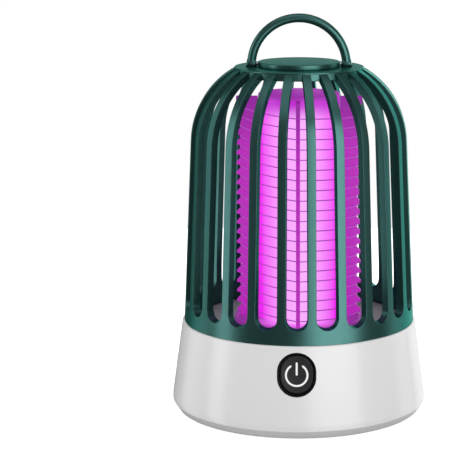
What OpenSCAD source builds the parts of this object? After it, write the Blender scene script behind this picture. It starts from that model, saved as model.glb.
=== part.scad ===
// Rechargeable insect-zapper lantern: a ribbed cage with a swing handle over a lit, wire-wound core,
// standing on a round base that holds the battery, the high-voltage board and the power button.
// Millimetres. The axis of the lantern is Z, the table is z = 0 and the button faces -Y.

/* [Base] */
// Diameter of the base at its belt
base_d = 125; // [119:1:150]
// Height of the base's top face above the table
base_h = 44; // [42:1:60]
// Wall thickness of the base housing
base_wall = 2.2; // [1.6:0.1:3]
// Height of the joint between housing and bottom cover
belt_z = 4.4; // [4:0.1:6]
// Height of the upright belt above that joint
belt_h = 2.6; // [1:0.1:5]
// How far the bottom edge is chamfered in from the belt
foot_inset = 2.8; // [1:0.1:5]
// Width of the base's ledge outside the cage
ledge_w = 0.9; // [0.5:0.1:3]
// Thickness of the bottom cover
cover_t = 2.4; // [2.2:0.1:3]
// Diameter of a rubber foot
pad_d = 10; // [8:1:14]
// How far a rubber foot stands below the bottom cover
pad_proud = 0.5; // [0.3:0.1:1.5]

/* [Cage] */
// Outer diameter of the cage where it meets the base
cage_d = 112.8; // [94:0.4:118]
// Height of the cage from the base's top face to its flat top
cage_h = 124; // [103:1:150]
// Inward lean of the cage wall, in degrees
cage_lean = 2.6; // [1:0.1:4]
// Radius of the domed shoulder
dome_r = 41.2; // [34:0.2:46]
// Diameter of the flat top
crown_d = 62.4; // [56:0.4:68]
// Thickness of the flat top
crown_t = 3; // [2.4:0.1:4]
// Number of ribs
rib_n = 24; // [20:4:28]
// Width of a rib
rib_w = 4; // [3:0.1:5]
// Radial depth of a rib
rib_depth = 3.6; // [3:0.1:5]
// Height of the plain band below the slots
band_h = 6.8; // [4:0.1:12]
// Depth of the skirt that drops into the base
skirt_h = 4.8; // [3:0.1:5]
// Play between the skirt and its groove
fit_gap = 0.3; // [0.2:0.05:0.5]

/* [Handle] */
// Diameter of the handle's rod
handle_rod_d = 4.3; // [3.6:0.1:4.6]
// Diameter of the raised disc that carries the handle
disc_d = 39.5; // [33:0.1:47.5]
// Thickness of the raised disc
disc_t = 2.4; // [2.2:0.1:3.5]
// Diameter of a handle pivot pin
pin_d = 1.6; // [1.2:0.1:1.8]
// Radial play of the handle on its pins
pin_play = 0.05; // [0.02:0.01:0.1]

/* [Lamp and grid] */
// Diameter of the lamp's diffuser tube
lamp_d = 39.4; // [33:0.2:47.4]
// Wall of the diffuser tube
lamp_wall = 1.5; // [1:0.1:2]
// Gap from the flat top of the cage down to the lamp's cap
lamp_gap = 12.8; // [8:0.2:20]
// Thickness of the lamp's cap
cap_t = 1.6; // [1.2:0.1:2.5]
// How far the combs reach out from the tube
comb_reach = 10.7; // [9:0.1:13]
// Thickness of a comb
comb_t = 1.75; // [1.2:0.05:2.4]
// Depth of a comb's teeth
tooth_depth = 2.3; // [1.8:0.1:3]
// Diameter of the grid wire
wire_d = 0.7; // [0.5:0.1:0.8]
// Height between neighbouring grid wires
wire_pitch = 4.88; // [4.6:0.02:6]
// Width of the core's foot outside the combs
flange_ledge = 1.2; // [0.6:0.1:4]
// Thickness of the core's foot
flange_t = 2; // [1.6:0.1:3]

/* [Button] */
// Width of the button's opening in the housing
button_w = 18.3; // [14:0.1:19]
// How much taller than wide the opening is
button_stretch = 2.6; // [0.5:0.1:3]
// Height of the button's centre above the table
button_z = 30.9; // [27:0.1:31]
// Travel of the button
button_travel = 0.8; // [0.3:0.1:1]

/* [Hidden] */
$fn = 96;
eps = 0.01;
small_fn = 32;

// Base housing: the wall leans in from the belt to a ledge outside the cage
belt_r = base_d / 2;
cage_r = cage_d / 2;
top_r = cage_r + ledge_w;
edge_c = 0.6;
belt_top = belt_z + belt_h;
wall_tan = (belt_r - top_r) / (base_h - edge_c - belt_top);
wall_tilt = atan(wall_tan);
function wall_r(z) = belt_r - max(0, z - belt_top) * wall_tan;
function inner_r(z) = wall_r(z) - base_wall / cos(wall_tilt);

// Skirt groove and deck
skirt_t = 1.9;
skirt_ro = cage_r - 2.5;
skirt_ri = skirt_ro - skirt_t;
socket_r = skirt_ro + fit_gap;
shelf_z = base_h - skirt_h - 0.4;
shelf_t = 2;
shelf_ri = skirt_ri - 7;
deck_r = skirt_ri - fit_gap;
deck_t = 2;
deck_top = base_h - 0.7;
deck_bottom = deck_top - deck_t;
deck_rim_t = 2;
neck_hole_r = 16;
deck_boss_r = 2.8;
deck_screw_ring = shelf_ri + deck_boss_r + 0.2;
screw_n = 4;

// Bottom cover
cover_bottom = pad_proud;
cover_top = cover_bottom + cover_t;
pad_recess = 1.2;
pad_ring = belt_r - 16.5;
lip_t = 1.6;
lip_h = 2;
lip_play = 0.2;
boss_r = 3.2;
screw_r = 1.2;
screw_hole_r = 1.5;
screw_head_r = 2.6;
screw_head_t = 1.2;
screw_len = 10;
boss_ring = min(belt_r - foot_inset - screw_head_r - 1.2, inner_r(cover_top + screw_len + 2) - boss_r + 0.9);
boss_turn = 45;

// Cage outline: a leaning wall that runs tangent into the dome
flat_z = base_h + cage_h;
crown_r = crown_d / 2;
crown_lip = 0.6;
dome_reach = dome_r * cos(cage_lean);
// Dome centre so that the wall is tangent to it and the dome reaches the flat top's edge
function dome_x(zc) = cage_r - (zc + dome_r * sin(cage_lean) - base_h) * tan(cage_lean) - dome_reach;
function dome_z_from(x) = flat_z - crown_lip - sqrt(dome_r * dome_r - (crown_r - x) * (crown_r - x));
function settle(x, n) = n == 0 ? x : settle(dome_x(dome_z_from(x)), n - 1);
dome_cx = settle(cage_r - dome_r - 4, 8);
dome_cz = dome_z_from(dome_cx);
shoulder_r = dome_cx + dome_reach;
shoulder_z = dome_cz + dome_r * sin(cage_lean);
half_pitch = 180 / rib_n;
// Radius of a slot at a distance out from the axis, so that its sides meet the ribs' sides
function slot_r(a) = a * tan(half_pitch) - rib_w / 2 / cos(half_pitch);
slot_out_r = slot_r(cage_r - band_h * tan(cage_lean));
rib_z = base_h + band_h + slot_out_r;
ring_t = 3.4;
ring_drop = 3.9;
ring_flare = 0.5;
crown_bottom = flat_z - crown_t;

// Handle and its raised disc
disc_r = disc_d / 2;
disc_top = flat_z + disc_t;
pivot_z = flat_z + disc_t / 2;
rod_r = handle_rod_d / 2;
arch_drop = 0.9;
arch_cz = pivot_z - arch_drop;
eye_r = rod_r + 0.25;
eye_half = rod_r + 0.15;
eye_gap = 0.78;
eye_x = disc_r + eye_gap + eye_half;
handle_r = sqrt(eye_x * eye_x + arch_drop * arch_drop);
arch_start = asin(arch_drop / handle_r);
pocket_gap = 0.4;
pocket_half = 5;
pin_in = disc_r - 4;
pin_out = eye_x + eye_half + 0.1;
disc_screw_ring = 12;
disc_screw_r = 0.9;
disc_screw_hole = 1.1;

// Lamp, combs and grid
lamp_r = lamp_d / 2;
flange_top = deck_top + flange_t;
lamp_top = flat_z - lamp_gap;
cap_bottom = lamp_top - cap_t;
comb_top = cap_bottom + 0.1;
comb_tip = lamp_r + comb_reach;
flange_r = comb_tip + flange_ledge;
comb_root = lamp_r + 0.2;
tooth_lip = 0.7;
tooth_land = 0.3;
notch_r = comb_tip - tooth_depth;
wire_r = wire_d / 2;
bead_r = wire_r + 0.07;
wind_r = notch_r + 0.82;
wire_sit = 0.35;
wire_top = comb_top - 7.5;
wire_tilt = asin(wire_pitch / 2 / wind_r);
wire_n = 1 + floor((wire_top - wire_pitch / 2 - flange_top - 0.8) / wire_pitch);
wire_end = wire_top - wire_pitch * (wire_n - 0.5);
lead_turn = 3.4;
lead_r = 0.5;
lead_hole = 0.9;
column_w = 14;
column_wall = 1.6;
column_foot = deck_bottom - 1.3;
column_top = cap_bottom - 6;
neck_r = neck_hole_r - 0.2;
strip_w = 9;
strip_t = 1;
led_w = 3.5;
led_t = 0.8;
led_n = 7;
core_screw_ring = 24;

// Inside the base
board_z = 12;
board_t = 1.6;
board_top = board_z + board_t;
board_half = wind_r + 1.1;
board_front = -6;
board_back = 44;
tongue_half = 9;
standoff_r = 2.5;
standoff_x = board_half - 5;
standoff_y = [-2, 40];
usb_mouth = wall_r(board_top) - base_wall;
usb_w = 8.9;
usb_h = 3.3;
usb_len = 7.4;
usb_wall = 0.35;
usb_z = board_top + usb_h / 2;
usb_port_w = 12.5;
usb_port_h = 7;
cell_d = 18.4;
cell_len = 65;
cell_y = -22;
cell_z = cover_top + 1.6 + cell_d / 2;
holder_wall = 1.5;

// Button, built along the wall's own normal
button_y = -wall_r(button_z);
button_r = button_w / 2;
bezel_front = -0.75;
bezel_back = -4.4;
bezel_play = 0.1;
bezel_rim = 1.15;
bezel_flange = 1.5;
cap_play = 0.25;
cap_r = button_r - bezel_play - bezel_rim - cap_play;
cap_front = -1.6;
cap_flange_t = 1;
cap_back = bezel_back - 0.1;
shallow_bezel = -3;
shallow_cap = -2.5;
stem_back = cap_back - cap_flange_t - 2.4;
switch_top = stem_back - 1;
switch_w = 6.2;
switch_t = 3.6;
plunger_r = 1.6;
plunger_len = 1.9;
plunger_hole = 1.75;
switch_back = switch_top - switch_t;
switch_board_t = 1.6;
switch_board_h = 12;
switch_post_x = button_r + 3.6;
switch_post_r = 2;

module around(n, r, turn = 0) {
    for (i = [0 : n - 1])
        rotate([0, 0, turn + i * 360 / n])
            translate([r, 0, 0])
                children();
}

module rod(r, z0, z1, fn = small_fn) {
    translate([0, 0, z0])
        cylinder(r = r, h = z1 - z0, $fn = fn);
}

module slab(x, y, z0, z1) {
    translate([-x / 2, -y / 2, z0])
        cube([x, y, z1 - z0]);
}

// Upright oblong outline: a circle of radius r stretched upwards
module oblong(r) {
    for (s = [-1, 1])
        translate([0, s * button_stretch / 2])
            circle(r = r);
    square([2 * r, button_stretch], center = true);
}

module oblong_block(r, z0, z1) {
    translate([0, 0, z0])
        linear_extrude(z1 - z0)
            oblong(r);
}

// Keeps the lower part of its children, which has room below the skirt's groove
module below_groove() {
    reach = (shelf_z - shelf_t - button_z + 0.3) / cos(wall_tilt);
    span = 4 * button_r;
    intersection() {
        children();
        translate([-span / 2, -span, -span / 2])
            cube([span, span + reach, span]);
    }
}

// Carries its children to the button's place, with +Z out of the wall
module at_button() {
    translate([0, button_y, button_z])
        rotate([90 - wall_tilt, 0, 0])
            children();
}

// Everything inside the cage's outer surface, moved in by d, as a side view
module cage_side(d) {
    polygon([
        [0, base_h],
        [cage_r - d / cos(cage_lean), base_h],
        [shoulder_r - d * cos(cage_lean), shoulder_z - d * sin(cage_lean)],
        [dome_cx, dome_cz],
        [0, dome_cz]
    ]);
    intersection() {
        translate([dome_cx, dome_cz])
            circle(r = dome_r - d, $fn = 256);
        translate([dome_cx, dome_cz + (dome_r - d) * sin(cage_lean) - eps])
            square([dome_r, dome_r]);
    }
    translate([0, dome_cz - eps])
        square([dome_cx + eps, dome_r - d + eps]);
    polygon([
        [dome_cx, dome_cz - eps],
        [shoulder_r - d * cos(cage_lean), shoulder_z - d * sin(cage_lean)],
        [dome_cx, shoulder_z - d * sin(cage_lean)]
    ]);
}

module crown_side() {
    polygon([
        [0, crown_bottom],
        [crown_r - ring_t, crown_bottom],
        [crown_r - ring_t, flat_z - ring_drop],
        [crown_r + ring_flare, flat_z - ring_drop],
        [crown_r, flat_z - crown_lip],
        [crown_r, flat_z],
        [0, flat_z]
    ]);
}

// ---- Base ----

module base_shell() {
    color("white")
    difference() {
        union() {
            rotate_extrude()
                polygon([
                    [belt_r, belt_z],
                    [belt_r, belt_top],
                    [top_r, base_h - edge_c],
                    [top_r - edge_c, base_h],
                    [socket_r, base_h],
                    [socket_r, shelf_z],
                    [shelf_ri, shelf_z],
                    [shelf_ri, shelf_z - shelf_t],
                    [inner_r(shelf_z - shelf_t), shelf_z - shelf_t],
                    [inner_r(belt_top), belt_top],
                    [inner_r(belt_top), belt_z]
                ]);
            intersection() {
                around(screw_n, boss_ring, boss_turn)
                    rod(boss_r, cover_top, shelf_z - eps);
                rotate_extrude()
                    polygon([
                        [0, 0],
                        [inner_r(belt_top) - lip_play, 0],
                        [inner_r(belt_top) + 0.5, belt_top],
                        [inner_r(shelf_z) + 0.5, shelf_z],
                        [0, shelf_z]
                    ]);
            }
            at_button()
                for (s = [-1, 1])
                    translate([s * switch_post_x, 0, 0])
                        rod(switch_post_r, switch_back, -base_wall - 1);
        }
        around(screw_n, boss_ring, boss_turn)
            rod(screw_r, cover_top - 1, cover_top + screw_len + 1);
        around(screw_n, deck_screw_ring)
            rod(screw_hole_r, shelf_z - shelf_t - 1, shelf_z + 1);
        at_button() {
            oblong_block(button_r, -base_wall - 6, 4);
            for (s = [-1, 1])
                translate([s * switch_post_x, 0, 0])
                    rod(screw_r, switch_back - 1, switch_back + 5);
        }
        usb_opening();
    }
}

module usb_opening() {
    translate([0, usb_mouth - 4, usb_z])
        rotate([-90, 0, 0])
            linear_extrude(12) {
                square([usb_port_w - usb_port_h, usb_port_h], center = true);
                for (s = [-1, 1])
                    translate([s * (usb_port_w - usb_port_h) / 2, 0])
                        circle(d = usb_port_h, $fn = small_fn);
            }
}

module bottom_cover() {
    lip_ro = inner_r(belt_z + lip_h) - lip_play;
    color("gainsboro")
    difference() {
        union() {
            rotate_extrude()
                polygon([
                    [0, cover_bottom],
                    [belt_r - foot_inset, cover_bottom],
                    [belt_r, belt_z],
                    [lip_ro, belt_z],
                    [lip_ro, belt_z + lip_h],
                    [lip_ro - lip_t, belt_z + lip_h],
                    [lip_ro - lip_t, cover_top],
                    [0, cover_top]
                ]);
            for (x = [-1, 1], y = standoff_y)
                translate([x * standoff_x, y, 0])
                    rod(standoff_r, cover_top - eps, board_z);
        }
        around(screw_n, boss_ring, boss_turn) {
            rod(boss_r + lip_play, cover_top, belt_z + lip_h + 1);
            rod(screw_hole_r, 0, cover_top + 1);
            rod(screw_head_r + 0.2, 0, cover_bottom + screw_head_t);
        }
        around(screw_n, pad_ring)
            rod(pad_d / 2 + 0.1, 0, cover_bottom + pad_recess);
        for (x = [-1, 1], y = standoff_y)
            translate([x * standoff_x, y, 0])
                rod(screw_r, cover_top + 1, board_z + 1);
    }
}

module rubber_feet() {
    color("dimgray")
    around(screw_n, pad_ring)
        rod(pad_d / 2, 0, cover_bottom + pad_recess);
}

// A pan-head screw standing on its head, from the seat at z = 0 upwards
module screw(len, r = screw_r) {
    rod(screw_head_r * r / screw_r, -screw_head_t, 0);
    rod(r, -eps, len);
}

module cover_screws() {
    color("silver")
    around(screw_n, boss_ring, boss_turn)
        difference() {
            translate([0, 0, cover_bottom + screw_head_t])
                screw(screw_len);
            slab(2.6, 0.6, 0, cover_bottom + 0.5);
            slab(0.6, 2.6, 0, cover_bottom + 0.5);
        }
}

module deck_plate() {
    color("whitesmoke")
    difference() {
        union() {
            rotate_extrude()
                polygon([
                    [neck_hole_r, deck_bottom],
                    [neck_hole_r, deck_top],
                    [deck_r - 0.4, deck_top],
                    [deck_r, deck_top - 0.4],
                    [deck_r, shelf_z],
                    [deck_r - deck_rim_t, shelf_z],
                    [deck_r - deck_rim_t, deck_bottom]
                ]);
            around(screw_n, deck_screw_ring)
                rod(deck_boss_r, shelf_z, deck_bottom + eps);
        }
        around(screw_n, deck_screw_ring)
            rod(screw_r, shelf_z - 1, deck_top - 0.8);
        around(screw_n, core_screw_ring, boss_turn)
            rod(screw_hole_r, deck_bottom - 1, deck_top + 1);
        at_leads()
            rod(lead_hole, deck_bottom - 1, deck_top + 1);
    }
}

module deck_screws() {
    color("silver")
    around(screw_n, deck_screw_ring)
        translate([0, 0, shelf_z - shelf_t])
            screw(deck_top - 0.8 - shelf_z + shelf_t - 0.2);
}

// ---- Lamp and grid ----

module core_flange() {
    color("mediumorchid")
    difference() {
        union() {
            rotate_extrude()
                polygon([
                    [column_w / 2 + 4, deck_bottom - 1.5],
                    [neck_r, deck_bottom - 1.5],
                    [neck_r, deck_top],
                    [flange_r, deck_top],
                    [flange_r, flange_top - 0.4],
                    [flange_r - 0.4, flange_top],
                    [column_w / 2 + 4, flange_top]
                ]);
            rod(column_w / 2 + 4 + eps, deck_bottom - 1.5, flange_top, $fn);
        }
        slab(column_w, column_w, deck_bottom - 3, flange_top + 1);
        around(screw_n, core_screw_ring, boss_turn)
            rod(screw_r, deck_top - 1, flange_top - 0.6);
        at_leads()
            rod(lead_hole, deck_top - 1, flange_top + 1);
    }
}

module core_screws() {
    color("silver")
    around(screw_n, core_screw_ring, boss_turn)
        translate([0, 0, deck_bottom])
            screw(deck_t + flange_t - 0.8);
}

// Side view of a comb, with a notch under a lip for each wire; first is the highest wire's height
module comb_side(first, count) {
    difference() {
        translate([comb_root, flange_top])
            square([comb_tip - comb_root, comb_top - flange_top]);
        for (i = [0 : count - 1])
            translate([notch_r, first - i * wire_pitch + wire_sit])
                polygon([
                    [0, 0],
                    [2 * tooth_depth, 2 * tooth_lip],
                    [2 * tooth_depth, 2 * (tooth_lip + tooth_land - wire_pitch)]
                ]);
    }
}

module grid_combs() {
    color("mediumvioletred")
    for (i = [0 : 3])
        rotate([0, 0, 90 * i])
            rotate([90, 0, 0])
                linear_extrude(comb_t, center = true)
                    if (i % 2 == 0)
                        comb_side(wire_top + wire_pitch / 2, wire_n + 1);
                    else
                        comb_side(wire_top, wire_n);
}

// Half a turn of wire, rising to its start side; the next half turn carries on from its end
module half_turn(h) {
    rotate([0, h % 2 == 0 ? wire_tilt : -wire_tilt, 0])
        rotate([0, 0, h % 2 == 0 ? 180 : 0])
            rotate_extrude(angle = 180)
                translate([wind_r, 0])
                    circle(r = wire_r, $fn = 16);
}

// One of the two wires that are wound together down the combs
module grid_wire(start) {
    last = wire_n - 1 - start;
    for (h = [0 : last])
        translate([0, 0, wire_top - wire_pitch * (start + h)])
            half_turn(h);
    for (h = [-1 : last])
        translate([
            (h % 2 == 0 ? 1 : -1) * wind_r * cos(wire_tilt),
            0,
            wire_top - wire_pitch * (start + h + 0.5)
        ])
            sphere(r = bead_r, $fn = 24);
}

module grid_wire_live() {
    color("lightgray")
    grid_wire(0);
}

module grid_wire_return() {
    color("darkgray")
    grid_wire(1);
}

// The two places where a lead comes up to the end of a grid wire
module at_leads() {
    for (a = [-lead_turn, 180 - lead_turn])
        rotate([0, 0, a])
            translate([wind_r, 0, 0])
                children();
}

module grid_leads() {
    color("silver")
    at_leads()
        rod(lead_r, board_top, wire_end + 0.1);
}

module lamp_tube() {
    color("violet")
    difference() {
        rod(lamp_r, flange_top, cap_bottom, $fn);
        rod(lamp_r - lamp_wall, flange_top - 1, cap_bottom + 1, $fn);
    }
}

module lamp_cap() {
    color("orchid") {
        rod(lamp_r, cap_bottom, lamp_top - 0.4, $fn);
        translate([0, 0, lamp_top - 0.4 - eps])
            cylinder(r1 = lamp_r, r2 = lamp_r - 0.4, h = 0.4 + eps);
        difference() {
            rod(lamp_r - lamp_wall - 0.1, cap_bottom - 3, cap_bottom + eps, $fn);
            rod(lamp_r - lamp_wall - 1.6, cap_bottom - 4, cap_bottom, $fn);
        }
    }
}

module led_column() {
    color("silver")
    difference() {
        slab(column_w, column_w, column_foot, column_top);
        slab(column_w - 2 * column_wall, column_w - 2 * column_wall, column_foot + 3, column_top + 1);
        for (s = [-1, 1])
            translate([2 * s, 0, 0])
                rod(lead_hole, column_foot - 1, column_foot + 4);
    }
}

module on_column_faces(d) {
    for (i = [0 : 3])
        rotate([0, 0, 90 * i])
            translate([column_w / 2 + d, 0, 0])
                children();
}

module led_strips() {
    color("white")
    on_column_faces(strip_t / 2)
        slab(strip_t, strip_w, flange_top + 4, column_top - 2);
}

module uv_leds() {
    led_pitch = (column_top - flange_top - 16) / (led_n - 1);
    color("blueviolet")
    on_column_faces(strip_t + led_t / 2)
        for (k = [0 : led_n - 1])
            translate([0, 0, flange_top + 8 + k * led_pitch])
                slab(led_t, led_w, 0, led_w);
}

module lamp_leads() {
    color("orange")
    for (s = [-1, 1])
        translate([2 * s, 0, 0])
            rod(lead_r, board_top, column_foot + 3.5);
}

// ---- Boards and battery ----

module control_board() {
    color("darkgreen")
    difference() {
        union() {
            translate([-board_half, board_front, board_z])
                cube([2 * board_half, board_back - board_front, board_t]);
            translate([-tongue_half, board_back - eps, board_z])
                cube([2 * tongue_half, usb_mouth - 1.6 - board_back, board_t]);
        }
        for (x = [-1, 1], y = standoff_y)
            translate([x * standoff_x, y, 0])
                rod(screw_hole_r, board_z - 1, board_top + 1);
    }
}

module board_screws() {
    color("silver")
    for (x = [-1, 1], y = standoff_y)
        translate([x * standoff_x, y, board_top])
            mirror([0, 0, 1])
                screw(7);
}

module hv_transformer() {
    color("gold")
    translate([-13, 18, 0]) {
        slab(19, 16, board_top, board_top + 2.5);
        slab(13, 15, board_top + 2.5 - eps, board_top + 12.5);
        slab(19, 16, board_top + 12.5 - eps, board_top + 15);
    }
}

module hv_capacitors() {
    color("steelblue")
    for (p = [[10, 10], [10, 24]])
        translate([p[0], p[1], 0])
            rod(5, board_top, board_top + 13, $fn);
}

module control_chips() {
    color("black")
    for (p = [[0, 36, 6, 5], [-14, 36, 5, 4], [20, 32, 4, 4], [22, 17, 5, 6], [0, 5, 7, 5]])
        translate([p[0], p[1], 0])
            slab(p[2], p[3], board_top, board_top + 1.5);
}

module battery_cell() {
    color("mediumseagreen")
    translate([0, cell_y, cell_z])
        rotate([0, 90, 0]) {
            rod(cell_d / 2, -cell_len / 2, cell_len / 2, $fn);
            rod(3, cell_len / 2 - eps, cell_len / 2 + 0.9);
        }
}

module battery_holder() {
    length = cell_len + 0.9 + 2 * holder_wall + 2.2;
    color("darkslategray")
    translate([0.45, cell_y, 0])
        difference() {
            slab(length, cell_d + 2 * holder_wall + 0.6, cover_top, cell_z);
            translate([0, 0, cell_z])
                rotate([0, 90, 0])
                    rod(cell_d / 2 + 0.2, -length / 2 + holder_wall, length / 2 - holder_wall, $fn);
        }
}

module battery_contacts() {
    color("gold") {
        translate([-cell_len / 2 - 0.5, cell_y, 0])
            slab(0.4, 8, cell_z - 6, cell_z + 4);
        translate([cell_len / 2 + 0.9 + 0.5, cell_y, 0])
            slab(0.4, 8, cell_z - 6, cell_z + 4);
    }
}

// Rounded outline of the charging socket, drawn in by d
module usb_outline(d) {
    r = usb_h / 2 - d;
    square([usb_w - usb_h, 2 * r], center = true);
    for (s = [-1, 1])
        translate([s * (usb_w - usb_h) / 2, 0])
            circle(r = r, $fn = small_fn);
}

module usb_socket() {
    color("silver")
    translate([0, usb_mouth - usb_len, usb_z])
        rotate([-90, 0, 0])
            difference() {
                linear_extrude(usb_len)
                    usb_outline(0);
                translate([0, 0, 1])
                    linear_extrude(usb_len)
                        usb_outline(usb_wall);
            }
}

module usb_tongue() {
    color("black")
    translate([0, usb_mouth - usb_len + 1, usb_z])
        rotate([-90, 0, 0])
            slab(6.4, 0.7, 0, usb_len - 1.6);
}

// ---- Button ----

module button_bezel() {
    color("black")
    at_button()
        difference() {
            union() {
                oblong_block(button_r - bezel_play, shallow_bezel, bezel_front);
                below_groove() {
                    oblong_block(button_r - bezel_play, bezel_back, shallow_bezel + eps);
                    oblong_block(button_r + bezel_flange, bezel_back, bezel_back + 0.9);
                }
            }
            oblong_block(cap_r + cap_play, bezel_back - 1, bezel_front + 1);
        }
}

module symbol_outline() {
    ring_r = 5.5;
    stroke = 1.1;
    translate([0, -0.3])
        difference() {
            circle(r = ring_r);
            circle(r = ring_r - stroke);
            polygon([[0, 0], [-7, 10], [7, 10]]);
        }
    translate([-stroke / 2, -0.5])
        square([stroke, 6.3]);
}

symbol_front = cap_front - 0.25;
symbol_back = symbol_front - 1.1;

module power_button() {
    dish_r = 75;
    dish_depth = 0.5;
    color([0.16, 0.16, 0.17])
    at_button() {
        difference() {
            union() {
                oblong_block(cap_r, shallow_cap, cap_front);
                below_groove()
                    oblong_block(cap_r, cap_back - eps, shallow_cap + eps);
            }
            translate([0, 0, cap_front + dish_r - dish_depth])
                sphere(r = dish_r, $fn = 200);
            translate([0, 0, symbol_back])
                linear_extrude(4)
                    symbol_outline();
        }
        below_groove()
            oblong_block(cap_r + 1, cap_back - cap_flange_t, cap_back);
        rod(2, stem_back, cap_back - cap_flange_t + eps);
    }
}

module button_symbol() {
    color("white")
    at_button()
        translate([0, 0, symbol_back])
            linear_extrude(symbol_front - symbol_back)
                symbol_outline();
}

module switch_plunger() {
    color("gray")
    at_button()
        rod(plunger_r, stem_back - plunger_len, stem_back);
}

module tact_switch() {
    color([0.2, 0.2, 0.2])
    at_button()
        difference() {
            slab(switch_w, switch_w, switch_back, switch_top);
            rod(plunger_hole, stem_back - plunger_len - button_travel - 0.2, switch_top + 1);
        }
}

module switch_board() {
    width = 2 * (switch_post_x + switch_post_r + 1);
    color("darkgreen")
    at_button()
        difference() {
            slab(width, switch_board_h, switch_back - switch_board_t, switch_back);
            for (s = [-1, 1])
                translate([s * switch_post_x, 0, 0])
                    rod(screw_hole_r, switch_back - 3, switch_back + 1);
        }
}

module switch_screws() {
    color("silver")
    at_button()
        for (s = [-1, 1])
            translate([s * switch_post_x, 0, switch_back - switch_board_t])
                screw(5);
}

// ---- Cage ----

module cage_band() {
    cut_in = skirt_ri - 3;
    cut_out = cage_r + 3;
    color("darkslategray")
    difference() {
        rotate_extrude()
            polygon([
                [skirt_ri, base_h - skirt_h],
                [skirt_ro, base_h - skirt_h],
                [skirt_ro, base_h],
                [cage_r, base_h],
                [cage_r - (rib_z - base_h) * tan(cage_lean), rib_z],
                [skirt_ri, rib_z]
            ]);
        for (i = [0 : rib_n - 1])
            rotate([0, 0, -90 + i * 360 / rib_n])
                translate([cut_in, 0, rib_z])
                    rotate([0, 90, 0])
                        cylinder(r1 = slot_r(cut_in), r2 = slot_r(cut_out), h = cut_out - cut_in);
    }
}

module rib() {
    rotate([90, 0, 0])
        linear_extrude(rib_w, center = true)
            intersection() {
                difference() {
                    cage_side(0);
                    cage_side(rib_depth);
                }
                translate([crown_r - 0.5, rib_z])
                    square([cage_r, cage_h]);
            }
}

module cage_ribs() {
    color("darkslategray")
    difference() {
        around(rib_n, 0, -90 + half_pitch)
            rib();
        rotate_extrude()
            crown_side();
    }
}

module cage_crown() {
    color("darkslategray")
    difference() {
        rotate_extrude()
            crown_side();
        for (s = [-1, 1]) {
            translate([s * eye_x, 0, 0])
                slab(2 * (eye_half + pocket_gap), 2 * pocket_half, pivot_z - eye_r - pocket_gap, flat_z + 1);
            translate([0, s * disc_screw_ring, 0])
                rod(disc_screw_hole, crown_bottom - 1, flat_z + 1);
        }
    }
}

module top_disc() {
    color("darkslategray")
    difference() {
        union() {
            rod(disc_r, flat_z, disc_top - 0.5, $fn);
            translate([0, 0, disc_top - 0.5 - eps])
                cylinder(r1 = disc_r, r2 = disc_r - 0.5, h = 0.5 + eps);
        }
        for (s = [-1, 1]) {
            translate([0, s * disc_screw_ring, 0])
                rod(disc_screw_r, flat_z - 1, disc_top - 0.7);
            translate([s * pin_in, 0, pivot_z])
                rotate([0, s * 90, 0])
                    rod(pin_d / 2, 0, 20);
        }
    }
}

module disc_screws() {
    color("silver")
    for (s = [-1, 1])
        translate([0, s * disc_screw_ring, crown_bottom])
            screw(crown_t + disc_t - 0.9, disc_screw_r);
}

module handle_pins() {
    color("silver")
    for (s = [-1, 1])
        translate([s * pin_in, 0, pivot_z])
            rotate([0, s * 90, 0])
                rod(pin_d / 2, 0, pin_out - pin_in);
}

module carry_handle() {
    color("darkslategray")
    difference() {
        union() {
            translate([0, 0, arch_cz])
                rotate([90, 0, 0])
                    rotate([0, 0, arch_start])
                        rotate_extrude(angle = 180 - 2 * arch_start)
                            translate([handle_r, 0])
                                circle(r = rod_r, $fn = 48);
            for (s = [-1, 1])
                translate([s * eye_x, 0, pivot_z])
                    rotate([0, 90, 0])
                        rod(eye_r, -eye_half, eye_half, 48);
        }
        for (s = [-1, 1])
            translate([s * (eye_x - eye_half - 1), 0, pivot_z])
                rotate([0, s * 90, 0])
                    rod(pin_d / 2 + pin_play, 0, 2 * eye_half + 2);
    }
}

base_shell();
bottom_cover();
rubber_feet();
cover_screws();
deck_plate();
deck_screws();
core_flange();
core_screws();
grid_combs();
grid_wire_live();
grid_wire_return();
grid_leads();
lamp_tube();
lamp_cap();
led_column();
led_strips();
uv_leds();
lamp_leads();
control_board();
board_screws();
hv_transformer();
hv_capacitors();
control_chips();
battery_cell();
battery_holder();
battery_contacts();
usb_socket();
usb_tongue();
button_bezel();
power_button();
button_symbol();
switch_plunger();
tact_switch();
switch_board();
switch_screws();
cage_band();
cage_ribs();
cage_crown();
top_disc();
disc_screws();
handle_pins();
carry_handle();
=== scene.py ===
"""Looks of a rechargeable insect-zapper lantern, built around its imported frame.

The cage, handle, housing, grid, lamp and button are made again as finely rounded meshes in the
place of their plain CAD nodes. The pieces inside keep their CAD shape and get their own finishes.
Sizes are in millimetres and become metres when a mesh is closed. +Z is up and the button faces -Y.
"""

from __future__ import annotations

import logging
import math
from collections.abc import Callable, Sequence
from dataclasses import dataclass, field
from enum import Enum

import bmesh
import bpy
from mathutils import Matrix, Vector

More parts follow.
